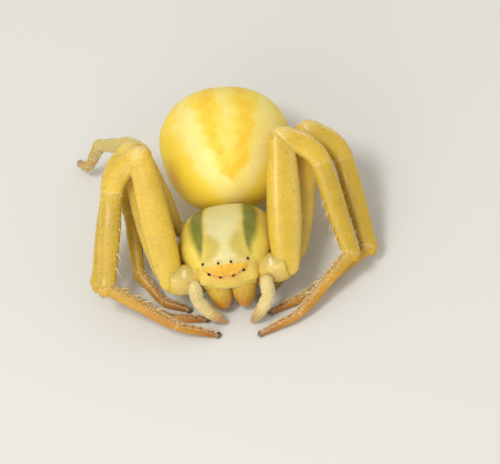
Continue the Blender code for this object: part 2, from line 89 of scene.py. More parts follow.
# Carapace and sternum as shares of the carapace's width:
# place along Y, half width, height of the crown, depth of the underside
CARAPACE_WIDTH = 4.1
BODY_STATIONS = (
    (0.425, 0.13, 0.02, -0.13),
    (0.395, 0.25, 0.08, -0.17),
    (0.325, 0.36, 0.15, -0.21),
    (0.215, 0.445, 0.215, -0.24),
    (0.08, 0.492, 0.265, -0.26),
    (-0.06, 0.50, 0.29, -0.27),
    (-0.19, 0.488, 0.298, -0.27),
    (-0.30, 0.445, 0.292, -0.25),
    (-0.39, 0.39, 0.275, -0.22),
    (-0.465, 0.345, 0.25, -0.14),
    (-0.525, 0.322, 0.215, -0.095),
    (-0.565, 0.31, 0.155, -0.075),
    (-0.588, 0.3, 0.085, -0.05),
    (-0.6, 0.28, 0.02, -0.02),
)
BODY_ROWS, BODY_SIDES = 90, 96
RIM_SHARPNESS = 0.8  # under 1 draws the rim out
KEEL_TAPER = 0.3  # how much narrower the underside gets

# Lumps that are fused into the body, as rows of place and breadth
FRONT_HIP = (
    (1.4, -1.6, -0.3, 1.05),
    (1.8, -1.8, -0.2, 1.22),
    (2.15, -1.88, -0.12, 1.24),
    (2.5, -1.88, -0.05, 1.12),
)
FRONT_HIP_MIDDLE = (2.15, -1.88, -0.15)
MOUTH = ((0, -1.3, -0.85, 1.3), (0, -1.62, -1.02, 1.15), (0, -1.8, -1.2, 0.8))
WAIST = ((0, 1.2, -0.25, 0.75), (0, 1.62, -0.25, 0.6), (0.04, 2.3, -0.22, 0.6))

# The face below the eyes: height of its edges in the middle, and how that changes to the sides
CLYPEUS_RIM, CLYPEUS_TOP = (-0.41, -0.05), (0.36, -0.12)
APRON_HALF, APRON_FRONT, APRON_SWEEP = 1.12, -2.35, 0.17

# Eyes: half spacing, place along Y, height, radius
EYES = {
    "eye_front_middle": (0.286, -2.40, 0.42, 0.115),
    "eye_front_side": (0.735, -2.22, 0.50, 0.125),
    "eye_rear_middle": (0.285, -2.10, 0.93, 0.095),
    "eye_rear_side": (0.945, -1.86, 0.70, 0.11),
}
HEAD_MIDDLE = np.array((-0.04, -1.3, 0.1))  # the eyes look away from here
FACE_MIDDLE, FACE_WIDTH = -0.04, 0.92  # how far the eyes lie to the right, and how close together
MOUND, MOUND_BACK = 1.5, 0.95  # radius of an eye's mound and how far back it lies, in radii of the eye
LENS, LENS_SUNK = 0.69, 0.026  # radius of the lens, in radii of the eye, and how deep its middle lies

# The raised pad that bears the eyes, by the distance out from the middle: its lower and upper
# edge, measured along the slope of the face
PAD_EDGES = (
    (0.0, -0.36, 0.35),
    (0.27, -0.34, 0.34),
    (0.46, -0.29, 0.31),
    (0.68, -0.19, 0.27),
    (0.88, -0.04, 0.24),
    (1.02, 0.14, 0.2),
)
PAD_HEIGHT = 0.06
PAD_MIDDLE, PAD_SLOPE = (-2.25, 0.67), (0.507, 0.862)  # along Y and Z

# Jaws and feelers
JAW_TOP, JAW_TIP = (0.56, -2.07, -0.28), (0.46, -2.46, -1.6)
JAW_BREADTH, JAW_DEPTH = 1.0752, 0.72
JAW_RUN = ((0.0, 1.04), (0.2, 1.06), (0.45, 0.98), (0.7, 0.84), (0.92, 0.6))
JAW_GAP = 0.015  # from each jaw to the middle
FANG_LENGTH, FANG_RADIUS = 0.42, 0.085
PALP_LEFT = (
    (1.58, -2.15, -0.78), (1.6, -2.64, -0.04), (1.58, -2.95, -0.6), (1.26, -3.12, -1.2), (0.68, -3.24, -1.82),
)
PALP_RIGHT = (
    (1.58, -2.05, -0.78), (1.52, -2.38, -0.04), (1.5, -2.68, -0.6), (1.16, -2.92, -1.2), (0.52, -3.06, -1.82),
)
PALP_ROOT = (0.85, -1.35, -0.95)
PALP_BREADTH = 0.5
PALP_ROOT_RUN = ((0.0, 1.3), (0.4, 1.2), (0.9, 1.05))
PALP_RUN = ((0.0, 0.9), (0.3, 1.0), (0.7, 1.06), (1.0, 1.08))
PALP_FULLNESS = 1.12  # of the last parts of the feelers
PALP_LAST_RUNS = (
    ((0.0, 0.98), (0.5, 1.06)),
    ((0.05, 0.95), (0.5, 1.02)),
    ((0.15, 0.92), (0.6, 0.74), (1.0, 0.34)),
)

# Legs by number, front to rear, as in the solids
LENGTHS = {
    1: (5.44, 2.0, 4.1, 3.42, 1.85),
    2: (5.14, 1.98, 3.97, 3.37, 1.77),
    3: (3.4, 1.36, 2.61, 1.7, 1.2),
    4: (3.58, 1.4, 2.38, 1.78, 1.24),
}
BREADTHS = {
    1: (1.42, 0.98, 0.95, 0.56, 0.42),
    2: (1.3, 0.94, 0.92, 0.54, 0.42),
    3: (0.82, 0.66, 0.64, 0.5, 0.42),
    4: (0.82, 0.68, 0.62, 0.5, 0.42),
}
THINNESS = {1: 0.7, 2: 0.7, 3: 0.85, 4: 0.85}
FOOT_THINNESS = 0.9
HIPS = {1: (2.51, -1.93, -0.045), 2: (2.86, -0.75, -0.5), 3: (2.76, 0.38, -0.85), 4: (2.24, 1.34, -0.48)}
COXA_ROOTS = {1: (0.95, -1.15, -0.75), 2: (1.1, -0.45, -0.8), 3: (1.1, 0.25, -0.8), 4: (0.95, 0.85, -0.75)}
COXA_BREADTHS = {1: 1.15, 2: 1.0, 3: 0.8, 4: 0.8}
COXA_RUN = ((0.0, 0.8), (0.4, 0.96), (0.65, 1.0), (0.85, 0.94))
POSE = {
    ("left", 1): ((84, 34), (-27, -29), (-77, -38), (-142, -20), -163),
    ("right", 1): ((82, 41), (-26, -35), (-77, -35), (-150, -22), -173),
    ("left", 2): ((75, 30), (-32, -32), (-80, -35), (-149, -10), -162),
    ("right", 2): ((80, 39), (-42, -37), (-69, -42), (-146, -11), -172),
    ("left", 3): ((66, 18), (-118, -34), (-113, -32), (-118, -6), -138),
    ("right", 3): ((67, 29), (-80, -36), (-91, -31), (-125, -18), -154),
    ("left", 4): ((61, 31), (77, -41), (82, -61), (-114, -6), -113),
    ("right", 4): ((68, 46), (45, -16), (50, -37), (12, -63), 63),
}
TIP_HEIGHT = 0.104  # of the last joint over the floor
FEMUR_RUN = ((0.0, 0.8), (0.08, 0.88), (0.18, 0.97), (0.34, 1.05), (0.58, 1.03), (0.8, 0.92), (0.92, 0.83))
THIGH_TURNED = {("right", 1): 0.89}  # a thigh that is seen more from its narrow side
PATELLA_RUN = ((0.25, 1.06), (0.6, 1.03), (0.9, 0.98))
TIBIA_RUN = ((0.1, 0.95), (0.35, 1.0), (0.65, 0.93), (0.9, 0.84))
METATARSUS_RUN = ((0.12, 1.0), (0.5, 0.88), (0.92, 0.76))
TARSUS_RUN = ((0.1, 0.9), (0.5, 0.84), (1.0, 0.62))
KNEE_SHARE, PATELLA_SHARE, ANKLE_SHARE, SHIN_SHARE = 0.77, 1.1, 0.98, 0.86  # breadths at the bends
TURN_REACH, TURN_TAPER = 0.25, 0.9  # how far each part reaches past a bend, and its breadth there
PATELLA_BOW = 0.29  # how far the patella bows outwards at its middle, as a share of its breadth
SQUARENESS = 0.84  # of the section of a leg: 1 is round, less is boxier
CREASE_DEPTHS, CREASE_WIDTH = (0.03, 0.022, 0.022, 0.018), 0.055
DOT_SPACING = 0.2  # of the small dots on the thighs and shins

# Spines of the front legs, by the part of the leg and their places along it, and claws
SPINE_PLACES = {2: (0.36, 0.5, 0.64, 0.78), 3: (0.14, 0.32, 0.5, 0.68)}
SPINE_LENGTH, SPINE_RADIUS, SPINE_SPREAD, SPINE_LEAN, SPINE_BEND = 0.43, 0.035, 0.6, 0.85, 0.3
SPINE_ROOT = 0.43  # how far out its root lies, as a share of the leg's breadth
CLAW_LENGTH, CLAW_RADIUS = 0.2, 0.028

# Abdomen, with stations as for the carapace: place along it, width, height, depth
ABDOMEN_MIDDLE = (0.26, 4.72, 0.42)
ABDOMEN_PITCH, ABDOMEN_TWIST = math.radians(20), math.radians(8)
ABDOMEN_LENGTH, ABDOMEN_WIDTH, ABDOMEN_HEIGHT = 5.55, 5.75, 4.3
ABDOMEN_STATIONS = (
    (0.0, 0.31, 0.30, -0.28),
    (0.045, 0.54, 0.54, -0.48),
    (0.11, 0.70, 0.74, -0.66),
    (0.19, 0.82, 0.87, -0.78),
    (0.28, 0.90, 0.94, -0.87),
    (0.38, 0.95, 0.985, -0.94),
    (0.48, 0.985, 1.0, -0.98),
    (0.58, 1.0, 0.99, -1.0),
    (0.68, 0.965, 0.94, -0.98),
    (0.77, 0.885, 0.85, -0.92),
    (0.85, 0.775, 0.73, -0.82),
    (0.92, 0.61, 0.56, -0.66),
    (0.97, 0.41, 0.35, -0.46),
    (0.993, 0.2, 0.15, -0.25),
)
ABDOMEN_ROWS, ABDOMEN_SIDES = 170, 224
ABDOMEN_ENDS = (-0.507, 0.502)  # of its length, from the middle
SPINNERET_PLACE, SPINNERET_OFF = (0.945, -0.46), 0.2
SPINNERET_LENGTH, SPINNERET_BREADTH = 0.62, 0.3

# Small pits on the abdomen: place across and along, and breadth
SIGILLA = (
    (0.62, -0.05, 0.09),
    (-0.45, -0.05, 0.09),
    (0.42, -0.95, 0.08),
    (-0.28, -0.95, 0.08),
    (0.1, -1.95, 0.08),
    (0.8, 0.8, 0.08),
    (-0.6, 0.8, 0.08),
)
SIGILLA_DEPTH = 0.04

# Markings along Y. On the carapace: half width of the cream stripe, and how far out the olive
# bands begin and end. On the abdomen: how far out bands and pale patches lie, and half breadths
CREAM_HALF = (
    (-2.0, 0.42), (-1.85, 0.5), (-1.6, 0.3), (-1.3, 0.2), (-1.15, 0.26),
    (-0.75, 0.6), (-0.5, 0.72), (0.3, 0.83), (1.5, 0.76),
)
OLIVE_INNER = ((-1.75, 1.07), (-1.4, 0.97), (-1.0, 0.92), (-0.6, 0.88), (1.0, 0.86), (1.5, 0.8))
OLIVE_OUTER = (
    (-1.78, 1.1), (-1.36, 1.21), (-0.9, 1.36), (-0.5, 1.46), (0.44, 1.55), (1.1, 1.42), (1.5, 1.2),
)
ABDOMEN_BANDS = (
    (-2.2, 0.0, 0.14), (-1.8, 0.16, 0.3), (-1.3, 0.36, 0.34), (-0.6, 0.6, 0.3),
    (0.0, 0.78, 0.3), (1.0, 0.86, 0.36), (1.9, 0.8, 0.33), (2.6, 0.6, 0.2),
)
PALE_PATCHES = (
    (-2.7, 0.0, 0.5), (-2.4, 0.15, 0.7), (-2.1, 0.55, 0.64), (-1.5, 1.08, 0.5),
    (-0.8, 1.42, 0.54), (0.6, 1.78, 0.68), (1.6, 1.85, 0.3), (2.4, 1.6, 0.01),
)
MARKS_MIDDLE = 0.1  # how far left the abdomen's markings are centred

# White streaks on each front hip: where they start, then how far across and along, and strength
STREAK_PLACE, STREAKS = (1.86, -1.82), ((0.03, -0.34, 0.8), (0.14, -0.26, 0.35), (-0.1, -0.3, 0.25))

# How fine the skins are
BODY_VOXEL, LEG_VOXEL, SMALL_VOXEL = 0.034, 0.036, 0.026
LIMB_SIDES, BALL_SIDES, LENS_SIDES = 40, 20, 28
LIMB_STEP, FEWEST_RINGS = 0.07, 12
END_RINGS = (80, 65, 50, 35, 18)  # of a rounded end, in degrees towards its point
COURSE_STEPS = 60


def tone(red, green, blue):
    """A colour as the eye reads it, 0 to 255, in linear light."""
    parts = np.array([red, green, blue]) / 255
    return np.where(parts <= 0.04045, parts / 12.92, ((parts + 0.055) / 1.055) ** 2.4)


# Colours
ABDOMEN_YELLOW, ABDOMEN_BAND = tone(250, 218, 84), tone(248, 203, 54)
ABDOMEN_CREAM, ABDOMEN_SIDE = tone(247, 229, 142), tone(255, 221, 74)
# The cream is the carapace's pale stripe, and also a painted highlight along the upper rim of the eye pad.
CREAM_AND_HIGHLIGHT, OLIVE, MOSS, OVAL = tone(226, 218, 160), tone(104, 112, 34), tone(128, 132, 46), tone(212, 190, 92)
# The amber is partly the face's own orange and partly painted shade under the eye pad.
# The dark brown is painted shadow, laid along the lower edge of the eye pad.
SIDE, RIDGE, PAD_SHADOW, AMBER_AND_SHADE = tone(232, 208, 94), tone(224, 176, 38), tone(140, 76, 26), tone(226, 158, 48)
CLYPEUS, STERNUM, HIP = tone(222, 192, 88), tone(214, 184, 84), tone(210, 184, 100)
# The pale joint colour also paints a highlight on the apex of each knee.
FEMUR, SHIN, PALE_JOINT_AND_HIGHLIGHT = tone(213, 180, 58), tone(199, 164, 42), tone(234, 214, 140)
GREEN_TINGE, SHANK, PALE_LEG = tone(178, 156, 40), tone(202, 156, 40), tone(198, 180, 100)
FOOT, TOE = tone(190, 134, 32), tone(158, 94, 26)
# The palest colour is the white streaks of the front hips and the pale rim of the face, and also painted
# highlights along each patella.
PALP, PALP_TIP, PALE_STREAK_AND_HIGHLIGHT = tone(218, 196, 128), tone(178, 124, 48), tone(250, 240, 204)
JAW, JAW_END, JAW_EDGE = tone(204, 168, 58), tone(196, 132, 32), tone(150, 82, 30)
DOT, SETA = tone(150, 112, 42), tone(104, 76, 30)
GOLDEN_HAIR, PALE_HAIR = tone(206, 156, 70), tone(248, 236, 196)
BLACK, DARK_RED, FANG, SPINE = tone(26, 20, 16), tone(112, 26, 12), tone(96, 40, 16), tone(226, 200, 140)


# Small mathematics

def vector(*parts):
    return np.array(parts, float)


UP = vector(0, 0, 1)


def sided(side, spot):
    """A place that is given for the left, on the left for 1 and on the right for -1."""
    return np.array(spot, float) * (side, 1, 1)


def unit(vectors):
    return vectors / np.maximum(np.linalg.norm(vectors, axis=-1, keepdims=True), 1e-9)


def circle(sides):
    turn = np.linspace(0, 2 * math.pi, sides, endpoint=False)
    return np.cos(turn), np.sin(turn)


def turn_share(across, along):
    """An angle as a share of a full turn, from 0 to 1."""
    return np.arctan2(across, along) / (2 * math.pi) + 0.5


def ease(low, high, values):
    """Rises smoothly from 0 to 1 between low and high."""
    t = np.clip((values - low) / (high - low), 0, 1)
    return t * t * (3 - 2 * t)


def bump(values, middle, width):
    return np.exp(-(((values - middle) / width) ** 2))


def read_off(values, rows):
    """Reads each further column of rows where the first column has the values."""
    first, *others = zip(*rows)
    return [np.interp(values, first, other) for other in others]


def mix(base, colour, share):
    """Blends a colour or rows of colours into the base, by the share of each row."""
    return base + (colour - base) * np.clip(share, 0, 1)[:, None]


def layered(base, *layers):
    """Lays colours over the base one after another, each by its own share."""
    for colour, share in layers:
        base = mix(base, colour, share)
    return base


def wobble(points, scale, number):
    """Soft irregular waves from -1 to 1 over points in space, different for each number."""
    draw = np.random.default_rng(SEED + number)
    total = np.zeros(len(points))
    for step in range(6):
        way = unit(draw.normal(size=3)) * scale * (1 + 0.35 * step)
        total += np.sin(points @ way + draw.uniform(0, 6.28)) / (1 + 0.3 * step)
    return total / 3.2


def curve_through(values, count):
    """Rows drawn evenly from a smooth curve through the rows of values."""
    values = np.asarray(values, float)
    steps = np.linalg.norm(np.diff(values[:, :3], axis=0), axis=1)
    knots = np.concatenate([[0], np.cumsum(steps)])
    slopes = np.gradient(values, knots, axis=0)
    places = np.linspace(0, knots[-1], count)
    i = np.clip(np.searchsorted(knots, places, side="right") - 1, 0, len(knots) - 2)
    width = (knots[i + 1] - knots[i])[:, None]
    t = (places - knots[i])[:, None] / width
    a, b, c, d = values[i], slopes[i] * width, values[i + 1], slopes[i + 1] * width
    start = (2 * t**3 - 3 * t**2 + 1) * a + (t**3 - 2 * t**2 + t) * b
    return start + (3 * t**2 - 2 * t**3) * c + (t**3 - t**2) * d


# Meshes as arrays of points and faces

def loft(rings, start, end):
    """A closed skin over rings of points, each end drawn to a point."""
    rings = np.asarray(rings)
    rows, sides = rings.shape[:2]
    points = np.concatenate([rings.reshape(-1, 3), [start, end]])
    i, j = np.meshgrid(np.arange(rows - 1), np.arange(sides), indexing="ij")
    here, next_row = i * sides, (i + 1) * sides
    k = (j + 1) % sides
    quads = np.stack([here + j, here + k, next_row + k, next_row + j], -1).reshape(-1, 4)
    side = np.arange(sides)
    other = (side + 1) % sides
    first, last = rows * sides, rows * sides + 1
    low = np.stack([other, side, np.full(sides, first)], -1)
    high = np.stack([side + (rows - 1) * sides, other + (rows - 1) * sides, np.full(sides, last)], -1)
    return points, [quads, low, high]


def tube(rows, normal, thinness, head, tail, sides=LIMB_SIDES, squareness=1):
    """A limb through rows of place and breadth, with rounded ends. head and tail say how
    long each end is, as a share of its own radius."""
    rows = np.array(rows, float)
    length = np.linalg.norm(np.diff(rows[:, :3], axis=0), axis=1).sum()
    rows = curve_through(rows, max(FEWEST_RINGS, int(length / LIMB_STEP)))
    places, breadths = rows[:, :3], rows[:, 3]
    ways = unit(np.gradient(places, axis=0))
    ends = np.radians(END_RINGS)
    first = [places[0] - ways[0] * math.sin(a) * head * breadths[0] / 2 for a in ends]
    last = [places[-1] + ways[-1] * math.sin(a) * tail * breadths[-1] / 2 for a in ends[::-1]]
    sizes = np.concatenate([breadths[0] * np.cos(ends), breadths, breadths[-1] * np.cos(ends[::-1])])
    start = places[0] - ways[0] * head * breadths[0] / 2
    end = places[-1] + ways[-1] * tail * breadths[-1] / 2
    places = np.concatenate([first, places, last])
    ways = np.concatenate([np.repeat(ways[:1], len(ends), 0), ways, np.repeat(ways[-1:], len(ends), 0)])
    flat = unit(normal - ways * (ways @ normal)[:, None])
    across = np.cross(ways, flat)
    c, s = (np.sign(part) * np.abs(part) ** squareness for part in circle(sides))
    half = sizes[:, None, None] / 2
    around = across[:, None] * c[None, :, None] + flat[:, None] * s[None, :, None] * thinness
    return loft(places[:, None] + half * around, start, end)


def ball(centre, radius, sides=BALL_SIDES):
    c, s = circle(sides)
    rings = []
    for rise in np.linspace(-math.pi / 2, math.pi / 2, sides)[1:-1]:
        flat = math.cos(rise) * radius
        ring = np.stack([c * flat, s * flat, np.full(sides, math.sin(rise) * radius)], -1)
        rings.append(ring + centre)
    return loft(rings, centre - UP * radius, centre + UP * radius)


def joined(shells):
    """Several meshes of points and faces as one."""
    points, faces, start = [], [], 0
    for shell_points, shell_faces in shells:
        points.append(shell_points)
        faces += [group + start for group in shell_faces]
        start += len(shell_points)
    return np.concatenate(points), faces


def raw_mesh(name, points, faces):
    mesh = bpy.data.meshes.new(name)
    loops = np.concatenate([group.ravel() for group in faces]).astype(np.int32)
    sizes = np.concatenate([np.full(len(group), group.shape[1]) for group in faces])
    starts = np.concatenate([[0], np.cumsum(sizes)[:-1]]).astype(np.int32)
    mesh.vertices.add(len(points))
    mesh.vertices.foreach_set("co", np.asarray(points, np.float32).ravel())
    mesh.loops.add(len(loops))
    mesh.loops.foreach_set("vertex_index", loops)
    mesh.polygons.add(len(sizes))
    mesh.polygons.foreach_set("loop_start", starts)
    mesh.update(calc_edges=True)
    return mesh


def show(made):
    bpy.context.scene.collection.objects.link(made)
    return made


def fuse(shells, voxel, rounds):
    """One smooth skin of quads over closed shells that overlap."""
    rough = show(bpy.data.objects.new("rough", raw_mesh("rough", *joined(shells))))
    step = rough.modifiers.new("fuse", "REMESH")
    step.mode, step.voxel_size = "VOXEL", voxel
    done = rough.evaluated_get(bpy.context.evaluated_depsgraph_get()).to_mesh()
    points = np.zeros(len(done.vertices) * 3, np.float32)
    done.vertices.foreach_get("co", points)
    corners = np.zeros(len(done.loops), np.int32)
    done.loops.foreach_get("vertex_index", corners)
    points, quads = points.reshape(-1, 3).astype(float), corners.reshape(-1, 4)
    old = rough.data
    bpy.data.objects.remove(rough)
    bpy.data.meshes.remove(old)
    return relaxed(points, quads, rounds), quads


def summed(at, rows, count):
    """The sum of the rows that fall to each point."""
    return np.stack([np.bincount(at, rows[:, k], count) for k in range(3)], -1)


def relaxed(points, quads, rounds):
    """Smooths without shrinking, by a step in and a slightly longer step out."""
    a, b = quads.ravel(), np.roll(quads, -1, axis=1).ravel()
    links = np.concatenate([a, b]), np.concatenate([b, a])
    count = np.bincount(links[0], minlength=len(points))[:, None]
    for step in range(rounds * 2):
        mean = summed(links[0], points[links[1]], len(points)) / count
        points = points + (mean - points) * (0.6 if step % 2 == 0 else -0.62)
    return points


def normals_of(points, quads):
    a, b, c, d = (points[quads[:, k]] for k in range(4))
    return unit(summed(quads.ravel(), np.repeat(np.cross(c - a, d - b), 4, 0), len(points)))


# From the body frame to the middle of the solids' frame, and the solids' box in the body frame
SHIFT = np.array(sum(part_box("eye_front_middle_left"), Vector()) / 2) / MM - EYES["eye_front_middle"][:3]
BOX = np.array(CAD_BOX) / MM - SHIFT


def place(name, points, faces, material, tint, uv=None):
    """A finished piece in the frame, with its colours and the map of its coat. What would reach
    into the floor lies on it instead."""
    points = np.maximum(points, (-math.inf, -math.inf, FLOOR + 0.001))
    mesh = raw_mesh(name, (points + SHIFT) * MM, faces)
    colours = np.ones((len(points), 4), np.float32)
    colours[:, :3] = tint
    mesh.attributes.new("tint", "FLOAT_COLOR", "POINT").data.foreach_set("color", colours.ravel())
    if uv is not None:
        corners = np.concatenate([group.ravel() for group in faces])
        layer = mesh.uv_layers.new(name="OFBake")
        layer.data.foreach_set("uv", uv[corners].astype(np.float32).ravel())
    mesh.shade_smooth()
    mesh.materials.append(material)
    made = show(bpy.data.objects.new(name, mesh))
    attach(made, "root")
    return made


# Materials

def set_inputs(node, values):
    for key, value in values:
        node.inputs[key].default_value = value


def plain_material(name, roughness):
    """A material and its shader."""
    made = bpy.data.materials.new(name)
    made.use_nodes = True
    shader = made.node_tree.nodes["Principled BSDF"]
    shader.inputs["Roughness"].default_value = roughness
    return made, shader


def tinted_material(name, roughness):
    """A material, its shader, and the node that reads the colours of a piece."""
    made, shader = plain_material(name, roughness)
    tint = made.node_tree.nodes.new("ShaderNodeAttribute")
    tint.attribute_name = "tint"
    return made, shader, tint


def skin_material(name, roughness, translucence, coat, mottle, grain, grain_depth, coat_roughness=0.2):
    """Waxy skin. mottle is how far the tint varies in soft patches, and grain the size in
    millimetres of its finest relief."""
    made, shader, tint = tinted_material(name, roughness)
    tree = made.node_tree
    where = tree.nodes.new("ShaderNodeTexCoord")

    def noise(size, detail):
        node = tree.nodes.new("ShaderNodeTexNoise")
        set_inputs(node, (("Scale", 1 / (size * MM)), ("Detail", detail)))
        tree.links.new(where.outputs["Object"], node.inputs["Vector"])
        return node

    soft = noise(PATCH_SIZE, 3)
    spread_out = tree.nodes.new("ShaderNodeMapRange")
    limits = ("From Min", 0.3), ("From Max", 0.7), ("To Min", 1 - mottle), ("To Max", 1 + mottle)
    set_inputs(spread_out, limits)
    tree.links.new(soft.outputs["Fac"], spread_out.inputs["Value"])
    vary = tree.nodes.new("ShaderNodeVectorMath")
    vary.operation = "SCALE"
    tree.links.new(tint.outputs["Color"], vary.inputs[0])
    tree.links.new(spread_out.outputs["Result"], vary.inputs["Scale"])
    tree.links.new(vary.outputs["Vector"], shader.inputs["Base Color"])

    fine = noise(grain, 2)
    relief = tree.nodes.new("ShaderNodeBump")
    set_inputs(relief, (("Strength", 1.0), ("Distance", grain_depth * MM)))
    tree.links.new(fine.outputs["Fac"], relief.inputs["Height"])
    tree.links.new(relief.outputs["Normal"], shader.inputs["Normal"])
    set_inputs(shader, (
        ("Subsurface Weight", translucence),
        ("Subsurface Radius", SUBSURFACE_RADIUS),
        ("Subsurface Scale", SUBSURFACE_SCALE * MM),
        ("Coat Weight", coat),
        ("Coat Roughness", coat_roughness),
        ("IOR", SKIN_IOR),
    ))
    return made


def hair_material(name):
    made, shader, tint = tinted_material(name, HAIR_ROUGHNESS)
    made.node_tree.links.new(tint.outputs["Color"], shader.inputs["Base Color"])
    shader.inputs["Specular IOR Level"].default_value = HAIR_SHINE
    return made


# Roughness, translucence, coat, mottle, size of the grain and its depth
BODY_SKIN = skin_material("body_skin", 0.42, 0.5, 0.16, 0.05, 0.05, 0.007)
LEG_SKIN = skin_material("leg_skin", 0.42, 0.5, 0.2, 0.05, 0.045, 0.007)
ABDOMEN_SKIN = skin_material("abdomen_skin", 0.5, 0.5, 0.04, 0.02, 0.09, 0.005)
PALP_SKIN = skin_material("palp_skin", 0.48, 0.5, 0.05, 0.05, 0.045, 0.004)
JAW_SKIN = skin_material("jaw_skin", 0.4, 0.4, 0.15, 0.06, 0.05, 0.004)
HORN = skin_material("horn", 0.3, 0.2, 0.3, 0.12, 0.04, 0.002)
HAIR = hair_material("hair")
EYE = skin_material("eye", 0.12, 0.0, 0.3, 0.1, 0.05, 0.0002, coat_roughness=0.02)


# Hairs

HAIR_FACES = np.array(
    [(0, 1, 4), (0, 4, 3), (1, 2, 5), (1, 5, 4), (2, 0, 3), (2, 3, 5), (3, 4, 6), (4, 5, 6), (5, 3, 6)]
)
HAIR_PATCH = 0.003 * np.array([(0, 0), (1, 0), (0.5, 0), (0, 0.5), (1, 0.5), (0.5, 0.5), (0.5, 1)])
HAIR_DROOP = 0.25


def hairs(roots, ways, ups, lengths, radii):
    """Tapered hairs of three sides that bend once. ups point off the skin."""
    side = unit(np.cross(ways, ups))
    rise = np.cross(side, ways)
    turns = np.radians((90, 210, 330))
    ring = side[:, None] * np.cos(turns)[None, :, None] + rise[:, None] * np.sin(turns)[None, :, None]
    lengths, radii = lengths[:, None], radii[:, None, None]
    low = (roots - ways * 0.02)[:, None] + ring * radii
    middle = (roots + ways * lengths * 0.5)[:, None] + ring * radii * 0.7
    tip = (roots + ways * lengths - ups * lengths * HAIR_DROOP)[:, None]
    points = np.concatenate([low, middle, tip], 1).reshape(-1, 3)
    faces = (np.arange(len(roots))[:, None, None] * 7 + HAIR_FACES[None]).reshape(-1, 3)
    return points, faces


def spread(points, spacing, draw):
    """One random point of each cell of a grid, which keeps them evenly apart."""
    cells = np.floor(points / spacing + draw.uniform(0, 1, 3)).astype(np.int64)
    keys = (cells[:, 0] * 73856093) ^ (cells[:, 1] * 19349663) ^ (cells[:, 2] * 83492791)
    order = draw.permutation(len(points))
    _, first = np.unique(keys[order], return_index=True)
    return np.sort(order[first])


class Coat:
    """Gathers the hairs of one piece, then places them. lies is the way they lie, and uvs the
    map of the skin that they grow on."""

    def __init__(self, name, slot, seed, points, normals, lies, uvs):
        self.name, self.slot = name, slot
        self.draw = np.random.default_rng(seed)
        self.skin = points, normals, np.broadcast_to(lies, points.shape), uvs
        self.points, self.faces, self.tints, self.uvs = [], [], [], []
        self.count = 0

    def grow(self, among, spacing, length, radius, rise, tint, keep=None, scatter=0.25,
             where=True, way=None):
        """Hairs at points of the skin, spaced apart among some of them and then kept where
        said and by chance. rise lifts them off the skin, in degrees."""
        draw, points = self.draw, self.skin[0]
        chosen = np.flatnonzero(np.broadcast_to(among, len(points)))
        chosen = chosen[spread(points[chosen], spacing, draw)]
        chosen = chosen[np.broadcast_to(where, len(points))[chosen]]
        if keep is not None:
            chosen = chosen[draw.uniform(size=len(chosen)) < keep]
        roots, normals, lies, uvs = (rows[chosen] for rows in self.skin)
        n = len(roots)
        lies = unit((lies if way is None else way) + draw.normal(size=(n, 3)) * scatter)
        lies = unit(lies - normals * (lies * normals).sum(1)[:, None])
        lift = np.radians(rise * draw.uniform(0.7, 1.3, n))[:, None]
        ways = unit(lies * np.cos(lift) + normals * np.sin(lift))
        lengths = length * draw.uniform(0.7, 1.25, n)
        radii = radius * draw.uniform(0.85, 1.15, n)
        hair_points, faces = hairs(roots, ways, normals, lengths, radii)
        colours = np.broadcast_to(tint, (n, 3)) * draw.uniform(0.85, 1.15, (n, 1))
        self.points.append(hair_points)
        self.faces.append(faces + self.count)
        self.tints.append(np.repeat(np.clip(colours, 0, 1), 7, 0))
        self.uvs.append((uvs[:, None] * 0.99 + HAIR_PATCH[None]).reshape(-1, 2))
        self.count += len(hair_points)

    def place(self):
        gathered = self.points, self.faces, self.tints, self.uvs
        points, faces, tints, uvs = (np.concatenate(rows) for rows in gathered)
        made = place(self.name, np.clip(points, *BOX), [faces], HAIR, tints, uvs)


# Legs

def direction(side, turn, rise):
    turn, rise = math.radians(turn), math.radians(rise)
    return vector(side * math.cos(turn) * math.cos(rise), math.sin(turn) * math.cos(rise), math.sin(rise))


def leg_joints(side_name, number):
    side = dict(SIDES)[side_name]
    joints = [sided(side, HIPS[number])]
    pose = POSE[side_name, number]
    for length, (turn, rise) in zip(LENGTHS[number], pose[:4]):
        joints.append(joints[-1] + direction(side, turn, rise) * length)
    length = LENGTHS[number][4]
    drop = (FLOOR + TIP_HEIGHT - joints[-1][2]) / length
    rise = math.degrees(math.asin(max(-1, min(1, drop))))
    joints.append(joints[-1] + direction(side, pose[4], rise) * length)
    return joints


def inner_way(joints, part):
    """The way from a part of the leg into the leg's hollow."""
    start, end = joints[part], joints[part + 1]
    along = unit(end - start)
    hollow = (joints[0] + joints[5]) / 2 - (start + end) / 2
    return unit(hollow - along * (hollow @ along))


def bowed(joints, breadth, t):
    """A place along the patella, which bows away from the hollow of the leg."""
    straight = joints[1] + (joints[2] - joints[1]) * t
    return straight - inner_way(joints, 1) * PATELLA_BOW * breadth * 4 * t * (1 - t)


def mitre(before, joint, after):
    return unit(unit(joint - before) + unit(after - joint))


def run_along(start, end, breadth, run):
    """Rows of place and breadth between two places. run gives the shares of both."""
    return [(*(start + (end - start) * t), breadth * share) for t, share in run]


def turned_end(joint, plane, breadth):
    return [(*joint, breadth), (*(joint + plane * TURN_REACH), breadth * TURN_TAPER)]


def turned_start(joint, plane, breadth):
    return [(*(joint - plane * TURN_REACH), breadth * TURN_TAPER), (*joint, breadth)]


def course(joints, patella):
    """Points close together along a leg, with the part of the leg that each is on."""
    points, parts, shares = [], [], []
    for part in range(5):
        for t in np.linspace(0, 1, COURSE_STEPS, endpoint=False):
            straight = joints[part] + (joints[part + 1] - joints[part]) * t
            points.append(bowed(joints, patella, t) if part == 1 else straight)
            parts.append(part)
            shares.append(t)
    points = np.array(points)
    return points, np.array(parts), np.array(shares), unit(np.gradient(points, axis=0))


def nearest(points, line, batch=8000):
    found = np.zeros(len(points), int)
    for i in range(0, len(points), batch):
        gaps = ((points[i:i + batch, None] - line[None]) ** 2).sum(-1)
        found[i:i + batch] = gaps.argmin(1)
    return found


